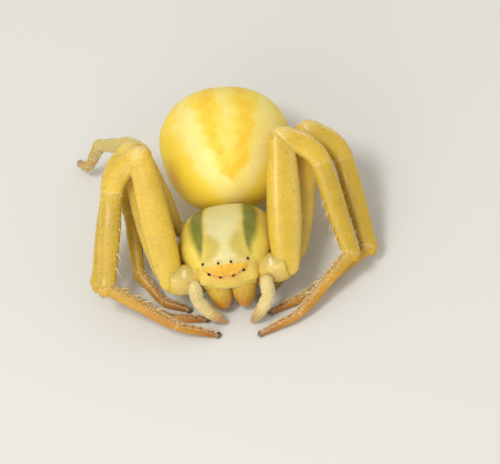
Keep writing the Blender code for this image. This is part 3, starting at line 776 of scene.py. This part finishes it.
def crease(points, normals, joint, plane, reach, width, depth):
    """Presses a groove round a joint, with a low swelling on each side. Returns the points
    and how deep in the groove each lies, from 0 to 1."""
    off = (points - joint) @ plane
    near = 1 - ease(reach * 0.8, reach, np.linalg.norm(points - joint, axis=1))
    groove = bump(off, 0, width) * near
    lips = (bump(off, 2.3 * width, width) + bump(off, -2.3 * width, width)) * near
    return points - normals * (depth * (groove - 0.35 * lips))[:, None], groove


def leg_shells(joints, normal, number, femur, knee, ankle):
    thin = THINNESS[number]
    _, patella, tibia, metatarsus, tarsus = BREADTHS[number]
    thigh = run_along(joints[0], joints[1], femur, FEMUR_RUN)
    thigh += turned_end(joints[1], knee, femur * KNEE_SHARE)
    shin = turned_start(joints[1], knee, patella * PATELLA_SHARE)
    shin += [(*bowed(joints, patella, t), patella * share) for t, share in PATELLA_RUN]
    shin += run_along(joints[2], joints[3], tibia, TIBIA_RUN)
    shin += turned_end(joints[3], ankle, tibia * SHIN_SHARE)
    foot = turned_start(joints[3], ankle, metatarsus * ANKLE_SHARE)
    foot += run_along(joints[3], joints[4], metatarsus, METATARSUS_RUN)
    foot += run_along(joints[4], joints[5], tarsus, TARSUS_RUN)
    return [
        tube(thigh, normal, thin, head=0.85, tail=0.2, squareness=SQUARENESS),
        tube(shin, normal, thin, head=0.2, tail=0.2, squareness=SQUARENESS),
        tube(foot, normal, max(thin, FOOT_THINNESS), head=0.2, tail=0.8, squareness=SQUARENESS),
    ]


def make_leg(side_name, number):
    name = f"leg_{number}_{side_name}"
    joints = leg_joints(side_name, number)
    normal = unit(np.cross(joints[1] - joints[0], joints[3] - joints[1]))
    femur, patella, tibia, metatarsus, _ = BREADTHS[number]
    femur *= THIGH_TURNED.get((side_name, number), 1.0)
    knee = mitre(joints[0], joints[1], bowed(joints, patella, 0.15))
    ankle = mitre(joints[2], joints[3], joints[4])
    points, quads = fuse(leg_shells(joints, normal, number, femur, knee, ankle), LEG_VOXEL, 3)
    points[:, 2] = np.maximum(points[:, 2], FLOOR + 0.002)
    normals = normals_of(points, quads)
    planes = knee, unit(joints[3] - bowed(joints, patella, 0.8)), ankle, unit(joints[5] - joints[3])
    sizes = femur, patella, tibia, metatarsus
    joint_mask = np.zeros(len(points))
    for spot, plane, size, depth in zip(joints[1:], planes, sizes, CREASE_DEPTHS):
        points, groove = crease(points, normals, spot, plane, size * 0.95, CREASE_WIDTH, depth)
        joint_mask = np.maximum(joint_mask, groove)
    normals = normals_of(points, quads)

    line, parts, shares, ways = course(joints, patella)
    at = nearest(points, line)
    part, share, way = parts[at], shares[at], ways[at]
    off = points - line[at]
    inner = np.stack([inner_way(joints, k) for k in range(5)])[part]
    inside = (unit(off) * inner).sum(1)
    turn = turn_share((off * np.cross(way, inner)).sum(1), (off * inner).sum(1))
    length = np.array([0, *np.cumsum(LENGTHS[number])])
    run = (length[part] + share * np.array(LENGTHS[number])[part]) / length[-1]
    uv = np.stack([turn, run], -1)
    tint = leg_tint(points, part, share, turn, inside, joint_mask, number)
    made = place(name, points, [quads], LEG_SKIN, tint, uv)
    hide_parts(*(f"{name}_{piece}" for piece in ("femur", "tibia", "foot")))
    leg_coat(name, number, points, normals, way, part, share, inside, uv)
    return joints, normal


def leg_tint(points, part, share, turn, inside, joint_mask, number):
    patches = ease(0.1, 0.8, wobble(points, 2.6, number))
    seams = [0.3 * (part <= 2) * bump(turn, middle, 0.06) for middle in (0.02, 0.98)]
    tint = layered(
        FEMUR,
        (SHIN, (part >= 2) * ease(-0.15, 0.25, share + (part > 2)) * 0.9),
        (GREEN_TINGE, (part == 2) * (0.15 + 0.35 * patches)),
        (SHANK, (part == 3) * ease(-0.1, 0.3, share) * 0.9),
        (FOOT, (part == 3) * ease(0.3, 0.9, share)),
        (mix(FOOT, TOE, ease(0.2, 1.0, share)), part == 4),
        (PALE_LEG, (number == 4) * (part > 0) * np.where(part < 3, 0.8, 0.45)),
        (PALE_JOINT_AND_HIGHLIGHT, joint_mask * 0.35),
        # Pale apex of each knee: partly the pale joint, partly a painted highlight
        (PALE_JOINT_AND_HIGHLIGHT, 0.4 * (part == 1) * (1 - ease(0.0, 0.25, share)) * (inside < 0)),
        (PALE_JOINT_AND_HIGHLIGHT, seams[0] + seams[1]),
    )
    # Painted highlights: two pale glossy lines along the top of each patella
    for middle in (0.03, 0.09):
        patella_highlight = bump(turn, middle, 0.014) * bump(share, 0.36, 0.26) * (part == 1)
        tint = mix(tint, PALE_STREAK_AND_HIGHLIGHT, patella_highlight * 0.5)
    tint = tint * (1 + 0.04 * wobble(points, 3.0, number))[:, None]
    dots = np.zeros(len(points))
    dots[spread(points, DOT_SPACING, np.random.default_rng(SEED + number))] = 1
    return mix(tint, DOT, dots * np.where(part == 0, 0.55, 0.25) * (part <= 2))


def leg_coat(name, number, points, normals, way, part, share, inside, uv):
    coat = Coat(name + "_hairs", "legs", SEED + number * 11 + 1, points, normals, way, uv)
    upper = part <= 2
    high = points[:, 2] > FLOOR + 0.06
    foot = (part >= 3) & high
    tuft = (part == 4) & (share > 0.92) & high
    coat.grow(upper, 0.2, 0.045, 0.0065, 28, DOT, 1.0)
    coat.grow(upper, 0.6, 0.13, 0.008, 38, SETA, 0.55)
    coat.grow(part == 0, 0.5, 0.07, 0.012, 30, PALE_HAIR, 0.35)
    coat.grow((part == 1) | (part == 2), 0.26, 0.065, 0.011, 28, PALE_HAIR, 0.6)
    coat.grow((part == 2) & (inside > 0.3), 0.2, 0.12, 0.008, 34, PALE_HAIR, 0.7)
    coat.grow(foot, 0.085, 0.09, 0.007, 26, GOLDEN_HAIR, 0.8)
    coat.grow(foot & (inside > 0.0), 0.08, 0.12, 0.0105, 36, PALE_HAIR, 0.75, 0.3)
    coat.grow(foot & (inside > 0.55), 0.1, 0.17, 0.009, 52, PALE_HAIR, 0.6, 0.35)
    coat.grow(foot & (inside > 0.3), 0.16, 0.15, 0.008, 46, SETA * 1.4, 0.6, 0.35)
    coat.grow(tuft & (share > 0.95), 0.04, 0.11, 0.009, 24, BLACK * 2, 1.0)
    coat.grow(tuft, 0.07, 0.12, 0.009, 30, PALE_HAIR, 1.0)
    coat.place()


# Spines and claws

def spike(root, way, bend, length, radius, sides=8, rings=7):
    """A curved spine that tapers from its sunk root to a point."""
    way = unit(way)
    shares = np.linspace(0, 0.93, rings)
    spots = np.array([root + way * (length * t) + bend * (length * t * t) for t in shares])
    radii = np.array([radius * (1 - t) ** 0.8 for t in shares])[:, None, None]
    ways = unit(np.gradient(spots, axis=0))
    side = unit(np.cross(ways, unit(np.cross(way, bend) + 1e-6)))
    other = np.cross(ways, side)
    c, s = circle(sides)
    around = side[:, None] * c[None, :, None] + other[:, None] * s[None, :, None]
    tip = root + way * length + bend * length
    return loft(spots[:, None] + around * radii, spots[0] - way * radius, tip)


def flat_way(joints, part, normal):
    """The way along a part of the leg, and the way across it."""
    along = unit(joints[part + 1] - joints[part])
    return along, unit(normal - along * (normal @ along))


def leg_spines(joints, normal, number, draw):
    shells = []
    for part, places in SPINE_PLACES.items():
        thin = THINNESS[number] if part == 2 else FOOT_THINNESS
        along, flat = flat_way(joints, part, normal)
        inner = inner_way(joints, part) * math.cos(SPINE_SPREAD)
        for share in places:
            for sign in (-1, 1):
                place_along = share + draw.uniform(-0.02, 0.02)
                spot = joints[part] + (joints[part + 1] - joints[part]) * place_along
                aside = flat * sign * math.sin(SPINE_SPREAD)
                root = spot + (inner + aside * thin) * BREADTHS[number][part] * SPINE_ROOT
                way = inner + aside + along * SPINE_LEAN
                length = SPINE_LENGTH * draw.uniform(0.85, 1.1)
                shells.append(spike(root, way, along * SPINE_BEND, length, SPINE_RADIUS))
    return shells


def leg_claws(joints, normal):
    along, flat = flat_way(joints, 4, normal)
    shells = []
    for sign in (-1, 1):
        root = joints[5] + flat * sign * 0.06 + UP * 0.02
        way = along + flat * sign * 0.2 + UP * 0.45
        shells.append(spike(root, way, UP * -0.5, CLAW_LENGTH, CLAW_RADIUS))
    return shells


def make_legs():
    draw = np.random.default_rng(SEED)
    claws = []
    for side_name, _ in SIDES:
        for number in HIPS:
            joints, normal = make_leg(side_name, number)
            claws += leg_claws(joints, normal)
            if number < 3:
                shells = leg_spines(joints, normal, number, draw)
                made = place(f"leg_{number}_{side_name}_spines", *joined(shells), HORN, SPINE)
    place("claws", *joined(claws), HORN, BLACK)


# Cephalothorax

def body_rings():
    c, s = circle(BODY_SIDES)
    reach = np.sign(c) * np.abs(c) ** RIM_SHARPNESS
    rings = []
    for along, half_width, crown, keel in curve_through(BODY_STATIONS, BODY_ROWS):
        x = reach * half_width * np.where(s < 0, 1 + KEEL_TAPER * s, 1)
        z = np.where(s >= 0, crown * s, -keel * s)
        rings.append(np.stack([x, np.full(BODY_SIDES, along), z], -1) * CARAPACE_WIDTH)
    return loft(rings, rings[0].mean(0), rings[-1].mean(0))


def eye_places():
    found = []
    for name, (x, y, z, radius) in EYES.items():
        for side_name, side in SIDES:
            spot = vector(FACE_MIDDLE + side * x * FACE_WIDTH, y, z)
            found.append((f"{name}_{side_name}", spot, radius))
    return found


def coxa(side, number):
    root, hip = sided(side, COXA_ROOTS[number]), sided(side, HIPS[number])
    return tube(run_along(root, hip, COXA_BREADTHS[number], COXA_RUN), UP, 0.9, head=0.6, tail=0.9)


def palp_points(side):
    return [sided(side, spot) for spot in (PALP_LEFT if side > 0 else PALP_RIGHT)]


def palp_coxa(side):
    rows = run_along(sided(side, PALP_ROOT), palp_points(side)[0], PALP_BREADTH, PALP_ROOT_RUN)
    return tube(rows, UP, 0.95, head=0.6, tail=0.9)


def edge_height(edge, x):
    """Height of an edge of the face, x out from its middle."""
    return edge[0] + edge[1] * x * x


def body_shells():
    shells = [body_rings()]
    shells += [coxa(side, number) for side in (1, -1) for number in HIPS]
    shells += [palp_coxa(side) for side in (1, -1)]
    for _, spot, radius in eye_places():
        shells.append(ball(spot + unit(HEAD_MIDDLE - spot) * radius * MOUND_BACK, radius * MOUND))
    apron = []
    for x in np.linspace(-APRON_HALF, APRON_HALF, 9):
        low, high = edge_height(CLYPEUS_RIM, x), edge_height(CLYPEUS_TOP, x)
        y = APRON_FRONT + APRON_SWEEP * (abs(x) / APRON_HALF) ** 2.4
        apron.append((x, y, (low + high) / 2, high - low))
    shells.append(tube(apron, unit(vector(0, -1, 0.12)), 0.42, head=0.15, tail=0.15, squareness=0.62))
    for side in (1, -1):
        rows = np.array(FRONT_HIP) * (side, 1, 1, 1)
        shells.append(tube(rows, UP, 0.94, head=0.5, tail=0.25, squareness=0.78))
    shells.append(tube(MOUTH, unit(vector(0, -1, 0.4)), 0.5, head=0.6, tail=0.6))
    shells.append(tube(WAIST, UP, 0.9, head=0.8, tail=0.3))
    return shells


def make_body():
    points, quads = fuse(body_shells(), BODY_VOXEL, 5)
    points = points + normals_of(points, quads) * pad_height(points)[:, None]
    normals = normals_of(points, quads)
    hip_mask = np.zeros(len(points))
    for side in (1, -1):
        for number, size in COXA_BREADTHS.items():
            root, hip = sided(side, COXA_ROOTS[number]), sided(side, HIPS[number])
            along = unit(hip - root)
            if number > 1:
                spot = root + (hip - root) * 0.7
                points, _ = crease(points, normals, spot, along, size * 0.72, 0.06, 0.04)
            near = (points - root) @ along / np.linalg.norm(hip - root)
            close = np.linalg.norm(np.cross(points - root, along), axis=1) < size * 0.62
            hip_mask = np.maximum(hip_mask, ease(0.35, 0.6, near) * close)
        front = np.linalg.norm(points - sided(side, FRONT_HIP_MIDDLE), axis=1)
        hip_mask = np.maximum(hip_mask, 1 - ease(0.74, 0.88, front))
    normals = normals_of(points, quads)
    tint = body_tint(points, normals, hip_mask)
    low, high = points.min(0), points.max(0)
    flat = (points - low)[:, :2] / (high - low)[:2]
    uv = np.stack([flat[:, 0] * 0.49 + 0.5 * (normals[:, 2] < 0), flat[:, 1]], -1)
    made = place("cephalothorax_skin", points, [quads], BODY_SKIN, tint, uv)
    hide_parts("cephalothorax")
    body_coat(points, normals, hip_mask, uv)
    return points


def pad_place(points):
    """Where points lie across the pad of the eyes: above its lower edge, above its upper edge
    and out from the middle of the face."""
    slope = PAD_SLOPE[0] * (points[:, 1] - PAD_MIDDLE[0]) + PAD_SLOPE[1] * (points[:, 2] - PAD_MIDDLE[1])
    out = np.abs(points[:, 0] - FACE_MIDDLE)
    low, high = read_off(out, PAD_EDGES)
    return slope - low, slope - high, out


def in_front(points, lowest):
    return (points[:, 1] < -1.5) & (points[:, 2] > lowest)


def pad_mask(points):
    above, over, out = pad_place(points)
    over = over + 0.03 * wobble(points, 16.0, 13)
    inside = ease(-0.06, 0.16, above) * (1 - ease(-0.2, 0.12, over))
    return inside * (1 - ease(0.9, 1.06, out)) * in_front(points, 0.1)


def pad_height(points):
    above, _, out = pad_place(points)
    groove = bump(above, -0.05, 0.05) * (1 - ease(0.92, 1.06, out)) * in_front(points, 0.1)
    lumps = 1 + 0.3 * wobble(points, 14.0, 14)
    return PAD_HEIGHT * pad_mask(points) * lumps - 0.006 * groove


def body_tint(points, normals, hip_mask):
    x, y, z = points.T
    out = np.abs(x)
    across = out + 0.035 * wobble(points, 5.0, 1) + 0.015 * wobble(points, 24.0, 2)
    top = ease(0.0, 0.35, z)
    inner, outer, cream = (read_off(y, rows)[0] for rows in (OLIVE_INNER, OLIVE_OUTER, CREAM_HALF))
    oval = 1 - ease(0.75, 1.25, np.hypot((across - 0.58) / 0.36, (y + 1.25) / 0.6))
    edge = bump(across, inner - 0.12, 0.12) * ease(-1.9, -1.6, y)
    pale = 1 - ease(cream - 0.28, cream + 0.2, across)
    beyond = ease(outer - 0.2, outer + 0.14, across)
    band = ease(inner - 0.1, inner + 0.1, across) * (1 - beyond)
    fade = ease(-1.95, -1.6, y) * (1 - ease(1.3, 1.6, y))
    green = mix(OLIVE, MOSS, 0.5 + 0.6 * wobble(points, 13.0, 3))

    above, over, pad_out = pad_place(points)
    front = in_front(points, 0.05)
    face = 1 - ease(-1.95, -1.8, y)
    reach = 1 - ease(0.92, 1.06, pad_out)
    # Where the painted shadow under the lower edge of the eye pad lies
    line = bump(above, -0.02, 0.05) * front * reach
    rim = edge_height(CLYPEUS_RIM, x)
    tint = layered(
        STERNUM,
        (SIDE, ease(-0.25, 0.1, z) * (1 - hip_mask)),
        (OVAL, top * (1 - ease(inner - 0.12, inner + 0.1, across))),
        (OVAL * 0.9, top * oval * 0.7),
        (SIDE, top * edge * 0.3),
        (CREAM_AND_HIGHLIGHT, top * pale * (0.86 + 0.2 * wobble(points, 3.5, 4))),
        (green, band * fade * top * 0.96),
        (CLYPEUS, face * (1 - ease(-0.1, 0.1, above))),
        (RIDGE, pad_mask(points)),
        # Paler upper rim of the eye pad: partly its pale ridge, partly a painted highlight
        (CREAM_AND_HIGHLIGHT, bump(over, 0.02, 0.09) * front * reach * 0.5),
        # Amber round the lower edge of the eye pad: partly its own orange, partly painted shade under the pad
        (AMBER_AND_SHADE, bump(above, 0.0, 0.17) * front * reach * (1 - 0.6 * ease(0.3, 0.8, out)) * 0.6),
        # Painted shadow: a dark brown line under the eye pad, strongest out by the eyes
        (PAD_SHADOW, line * (0.04 + 0.24 * bump(out, 0.52, 0.12) + 0.22 * ease(0.8, 0.95, out))),
        (PALE_STREAK_AND_HIGHLIGHT, face * bump(z, rim + 0.05, 0.05) * 0.7),
        (HIP, hip_mask),
        (FEMUR, hip_mask * ease(2.25, 2.6, out) * (y < -1.4)),
    )
    for side in (1, -1):
        for aside, ahead, strength in STREAKS:
            flat, run = points[:, :2] - np.array(STREAK_PLACE) * (side, 1), vector(side * aside, ahead)
            share = np.clip(flat @ run / (run @ run), 0, 1)
            gap = np.linalg.norm(flat - share[:, None] * run, axis=1)
            tint = mix(tint, PALE_STREAK_AND_HIGHLIGHT, bump(gap, 0, 0.045) * hip_mask * (normals[:, 2] > 0.1) * strength)
    return tint


def body_coat(points, normals, hip_mask, uv):
    x, y, z = points.T
    top = (z > 0.05) & (normals[:, 2] > 0.1)
    fringe = (y < -2.1) & (np.abs(z - edge_height(CLYPEUS_RIM, x) - 0.04) < 0.06) & (np.abs(x) < 1.1)
    coat = Coat("cephalothorax_hairs", "body", SEED + 3, points, normals, vector(0, -1, 0), uv)
    coat.grow(top, 0.42, 0.06, 0.007, 40, DOT)
    coat.grow(top & (y < -0.6), 0.95, 0.16, 0.008, 50, SETA)
    coat.grow((y < -2.0) & (z > -0.3), 0.3, 0.08, 0.006, 60, DOT)
    coat.grow(fringe, 0.11, 0.12, 0.006, 20, GOLDEN_HAIR, way=vector(0, -0.3, -1))
    coat.grow(hip_mask > 0.5, 0.3, 0.08, 0.007, 35, DOT)
    coat.grow(z < -0.5, 0.24, 0.11, 0.008, 35, GOLDEN_HAIR * 0.8)
    coat.place()


def make_eyes(skin):
    """The lenses, each set into the skin where the skin crosses the axis of its eye."""
    for name, spot, radius in eye_places():
        way = unit(spot - HEAD_MIDDLE)
        off = skin - spot
        height = off @ way
        gap = np.linalg.norm(off - height[:, None] * way, axis=1)
        near = (gap < 0.05) & (np.abs(height) < 0.4)
        points, faces = ball(spot + way * (height[near].mean() - LENS_SUNK), radius * LENS, LENS_SIDES)
        colour = DARK_RED if "front_middle" in name else BLACK
        made = place(name + "_lens", points, faces, EYE, colour)
        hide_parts(name)


# Jaws and feelers

def make_jaws():
    fangs = []
    for side_name, side in SIDES:
        name = f"chelicera_{side_name}"
        top, tip = sided(side, JAW_TOP), sided(side, JAW_TIP)
        rows = run_along(top, tip, JAW_BREADTH, JAW_RUN)
        points, quads = fuse([tube(rows, vector(0, -1, 0), JAW_DEPTH, head=0.2, tail=0.55)], SMALL_VOXEL, 2)
        points[:, 0] = side * np.maximum(side * points[:, 0], JAW_GAP)
        normals = normals_of(points, quads)
        down = (points - top) @ unit(tip - top) / np.linalg.norm(tip - top)
        end, edge = ease(0.3, 0.85, down), ease(1.02, 1.2, down) * 0.8
        tint = layered(JAW, (JAW_END, end), (JAW_EDGE, edge))
        turn = turn_share(points[:, 0] - top[0], -(points[:, 1] - top[1]))
        uv = np.stack([turn, np.clip(down, 0, 1.3) / 1.3], -1)
        made = place(name + "_skin", points, [quads], JAW_SKIN, tint, uv)
        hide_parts(f"chelicera_{side_name}")
        coat = Coat(name + "_hairs", "jaws", SEED + 20 + side, points, normals, unit(tip - top), uv)
        coat.grow(True, 0.17, 0.13, 0.006, 26, SETA * 1.5, where=normals[:, 1] < 0.3)
        coat.place()
        way, bend = sided(side, (-0.55, 0.15, -0.6)), sided(side, (-0.35, 0.3, 0.3))
        fangs.append(spike(tip + vector(0, 0.02, 0.06), way, bend, FANG_LENGTH, FANG_RADIUS, 12, 10))
    place("fangs", *joined(fangs), HORN, FANG)


def make_palps():
    for side_name, side in SIDES:
        name = f"palp_{side_name}"
        stops = palp_points(side)
        hip, knee, _, _, tip = stops
        normal = unit(np.cross(knee - hip, tip - knee))
        first, second = run_along(hip, knee, PALP_BREADTH, PALP_RUN), []
        for start, end, run in zip(stops[1:], stops[2:], PALP_LAST_RUNS):
            second += run_along(start, end, PALP_BREADTH * PALP_FULLNESS, run)
        shells = [
            tube(first, normal, 0.95, head=0.7, tail=1.0, squareness=SQUARENESS),
            tube(second, normal, 0.95, head=1.0, tail=0.8, squareness=SQUARENESS),
        ]
        points, quads = fuse(shells, SMALL_VOXEL, 3)
        normals = normals_of(points, quads)
        folds = np.zeros(len(points))
        for before, spot, after in zip(stops, stops[1:], stops[2:]):
            plane = mitre(before, spot, after)
            points, groove = crease(points, normals, spot, plane, PALP_BREADTH * 0.8, 0.04, 0.016)
            folds = np.maximum(folds, groove)
        normals = normals_of(points, quads)
        line = np.concatenate([np.linspace(a, b, 40, endpoint=False) for a, b in zip(stops, stops[1:])])
        at = nearest(points, line)
        run, way = at / len(line), unit(np.gradient(line, axis=0))[at]
        tint = layered(PALP, (PALP_TIP, ease(0.74, 1.0, run)), (PALE_JOINT_AND_HIGHLIGHT, folds * 0.25))
        off = points - line[at]
        uv = np.stack([turn_share((off * normal).sum(1), (off * np.cross(way, normal)).sum(1)), run], -1)
        made = place(name + "_skin", points, [quads], PALP_SKIN, tint, uv)
        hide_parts(f"palp_{side_name}_femur", f"palp_{side_name}_tarsus")
        coat = Coat(name + "_hairs", "palps", SEED + 30 + side, points, normals, way, uv)
        coat.grow(True, 0.07, 0.09, 0.007, 32, PALE_HAIR, where=run > 0.1)
        coat.grow(True, 0.34, 0.14, 0.007, 46, SETA * 1.3, where=run > 0.3)
        coat.grow(True, 0.12, 0.12, 0.007, 36, GOLDEN_HAIR, where=run > 0.72)
        coat.place()


# Abdomen

ABDOMEN_AXES = np.array(Matrix.Rotation(ABDOMEN_PITCH, 3, "X") @ Matrix.Rotation(ABDOMEN_TWIST, 3, "Y"))


def make_abdomen():
    c, s = circle(ABDOMEN_SIDES)
    rings = []
    for along, width, top, belly in curve_through(ABDOMEN_STATIONS, ABDOMEN_ROWS):
        x = c * width * ABDOMEN_WIDTH / 2
        z = s * np.where(s > 0, top, -belly) * ABDOMEN_HEIGHT / 2
        rings.append(np.stack([x, np.full(ABDOMEN_SIDES, (along - 0.5) * ABDOMEN_LENGTH), z], -1))
    start = vector(0, ABDOMEN_ENDS[0] * ABDOMEN_LENGTH, 0)
    end = vector(0, ABDOMEN_ENDS[1] * ABDOMEN_LENGTH, -0.05 * ABDOMEN_HEIGHT)
    local, faces = loft(rings, start, end)
    outward = unit(local / vector(ABDOMEN_WIDTH, ABDOMEN_LENGTH, ABDOMEN_HEIGHT) ** 2)
    pits = np.zeros(len(local))
    for x, y, size in SIGILLA:
        gap = np.hypot(local[:, 0] - x, local[:, 1] - y)
        pits = np.maximum(pits, bump(gap, 0, size) * (local[:, 2] > 0))
    local = local - outward * (pits * SIGILLA_DEPTH)[:, None]
    local = local + outward * (0.012 * wobble(local, 2.2, 5))[:, None]
    tint = abdomen_tint(local, pits)
    points = local @ ABDOMEN_AXES.T + ABDOMEN_MIDDLE
    uv = np.stack([turn_share(local[:, 2], local[:, 0]), local[:, 1] / ABDOMEN_LENGTH + 0.5], -1)
    made = place("abdomen_skin", points, faces, ABDOMEN_SKIN, tint, uv)
    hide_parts("abdomen")
    normals = outward @ ABDOMEN_AXES.T
    coat = Coat("abdomen_hairs", "abdomen", SEED + 6, points, normals, vector(0, 1, -0.2), uv)
    coat.grow(True, 0.34, 0.06, 0.006, 35, GOLDEN_HAIR)
    coat.place()
    make_spinnerets()


def abdomen_tint(local, pits):
    """Two deeper bands that meet in front, pale patches outside them and deeper flanks."""
    x, y, z = local.T
    off = x - MARKS_MIDDLE
    steps = np.tanh(3 * np.sin(y * 8 + 2 * np.sign(off) + 1.6 * np.sin(y * 2.3)))
    rough = 0.08 * wobble(local, 5.0, 8) + 0.05 * wobble(local, 13.0, 9) + 0.05 * steps
    across = np.abs(off) + rough
    top = ease(-0.1, 0.7, z)
    pale, breadth = read_off(y, PALE_PATCHES)
    patch = 1 - ease(breadth * 0.35, breadth * 1.4, np.abs(across - pale))
    flank = ease(pale + breadth * 0.6, pale + breadth * 1.5 + 0.1, across)
    strip = (1 - ease(0.1, 0.5, across)) * ease(-1.1, -0.4, y)
    track, wide = read_off(y, ABDOMEN_BANDS)
    wide = wide * (1 + 0.25 * wobble(local * (0.4, 1, 0.4), 6.5, 11))
    band = 1 - ease(wide * 0.35, wide * 1.4, np.abs(across - track))
    band = band * ease(-2.45, -1.95, y + rough)
    return layered(
        ABDOMEN_YELLOW,
        (ABDOMEN_CREAM, patch * top * (0.8 + 0.3 * wobble(local, 4.0, 10))),
        (ABDOMEN_SIDE, np.maximum(flank, 1 - ease(0.0, 0.9, z + rough))),
        (ABDOMEN_CREAM, strip * top * (0.45 + 0.3 * wobble(local, 5.0, 15))),
        (ABDOMEN_BAND, band * top * (0.75 + 0.5 * wobble(local, 6.0, 12))),
        (ABDOMEN_SIDE * 0.8, pits * 0.3),
    )


def make_spinnerets():
    along, below = SPINNERET_PLACE
    rear = unit(vector(0, 1, -0.55))
    start = vector(0, (along - 0.5) * ABDOMEN_LENGTH, below * ABDOMEN_HEIGHT / 2) + rear * SPINNERET_OFF
    shells = []
    for lift, share in ((0.17, 1.0), (0.0, 0.8), (-0.17, 0.95)):
        for side in (-1, 1):
            low = start + vector(side * 0.13, -lift * 0.5, lift)
            high = low + unit(rear + vector(side * 0.12, 0, lift)) * SPINNERET_LENGTH * share
            rows = run_along(low, high, SPINNERET_BREADTH, ((0, 1.1), (0.5, 0.9), (0.9, 0.5)))
            points, faces = tube(rows, vector(1, 0, 0), 1.0, head=0.3, tail=0.5, sides=24)
            shells.append((points @ ABDOMEN_AXES.T + ABDOMEN_MIDDLE, faces))
    made = place("spinnerets_skin", *joined(shells), ABDOMEN_SKIN, SIDE)
    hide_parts("spinnerets")


# Camera, floor and light

def camera_axes():
    rise, turn, roll = (math.radians(a) for a in (CAMERA_RISE, CAMERA_TURN, CAMERA_ROLL))
    back = vector(math.sin(turn) * math.cos(rise), -math.cos(turn) * math.cos(rise), math.sin(rise))
    level = vector(math.cos(turn), math.sin(turn), 0)
    lift = np.cross(back, level)
    right = level * math.cos(roll) - lift * math.sin(roll)
    up = level * math.sin(roll) + lift * math.cos(roll)
    return right, up, back


def in_frame(point):
    return Vector((np.asarray(point) + SHIFT) * MM)


def make_camera():
    right, up, back = camera_axes()
    aim = right * CAMERA_AIM[0] + up * CAMERA_AIM[1]
    lens = bpy.data.cameras.new("camera")
    lens.sensor_width = SENSOR
    lens.sensor_fit = "HORIZONTAL"
    lens.lens = SENSOR * CAMERA_DISTANCE / VIEW_WIDTH
    lens.clip_start = 0.01
    lens.clip_end = 10
    camera = show(bpy.data.objects.new("camera", lens))
    turn = Matrix((right, up, back)).transposed().to_4x4()
    camera.matrix_world = Matrix.Translation(in_frame(aim + back * CAMERA_DISTANCE)) @ turn
    bpy.context.scene.camera = camera


def make_stage():
    mesh = bpy.data.meshes.new("floor")
    reach = STAGE_REACH * MM
    corners = [(x * reach, y * reach, 0) for x, y in ((-1, -1), (1, -1), (1, 1), (-1, 1))]
    mesh.from_pydata(corners, [], [(0, 1, 2, 3)])
    floor = show(bpy.data.objects.new("floor", mesh))
    pale, shader = plain_material("floor", STAGE_ROUGHNESS)
    shader.inputs["Base Color"].default_value = STAGE_COLOUR
    mesh.materials.append(pale)


def make_light():
    world = bpy.data.worlds.new("world")
    world.use_nodes = True
    set_inputs(world.node_tree.nodes["Background"], (("Color", SKY), ("Strength", SKY_STRENGTH)))
    bpy.context.scene.world = world
    for name, way, size, power, colour in LIGHTS:
        light = bpy.data.lights.new(name, "AREA")
        light.size, light.energy, light.color = size * MM, power, colour
        made = show(bpy.data.objects.new(name, light))
        spot = in_frame(unit(vector(*way)) * LIGHT_DISTANCE)
        turn = (spot - in_frame(LIGHT_AIM)).to_track_quat("Z", "Y")
        made.matrix_world = Matrix.Translation(spot) @ turn.to_matrix().to_4x4()
    bpy.context.scene.view_settings.view_transform = "Standard"


def main():
    make_camera()
    make_eyes(make_body())
    make_jaws()
    make_palps()
    make_abdomen()
    make_legs()
    make_stage()
    make_light()


main()
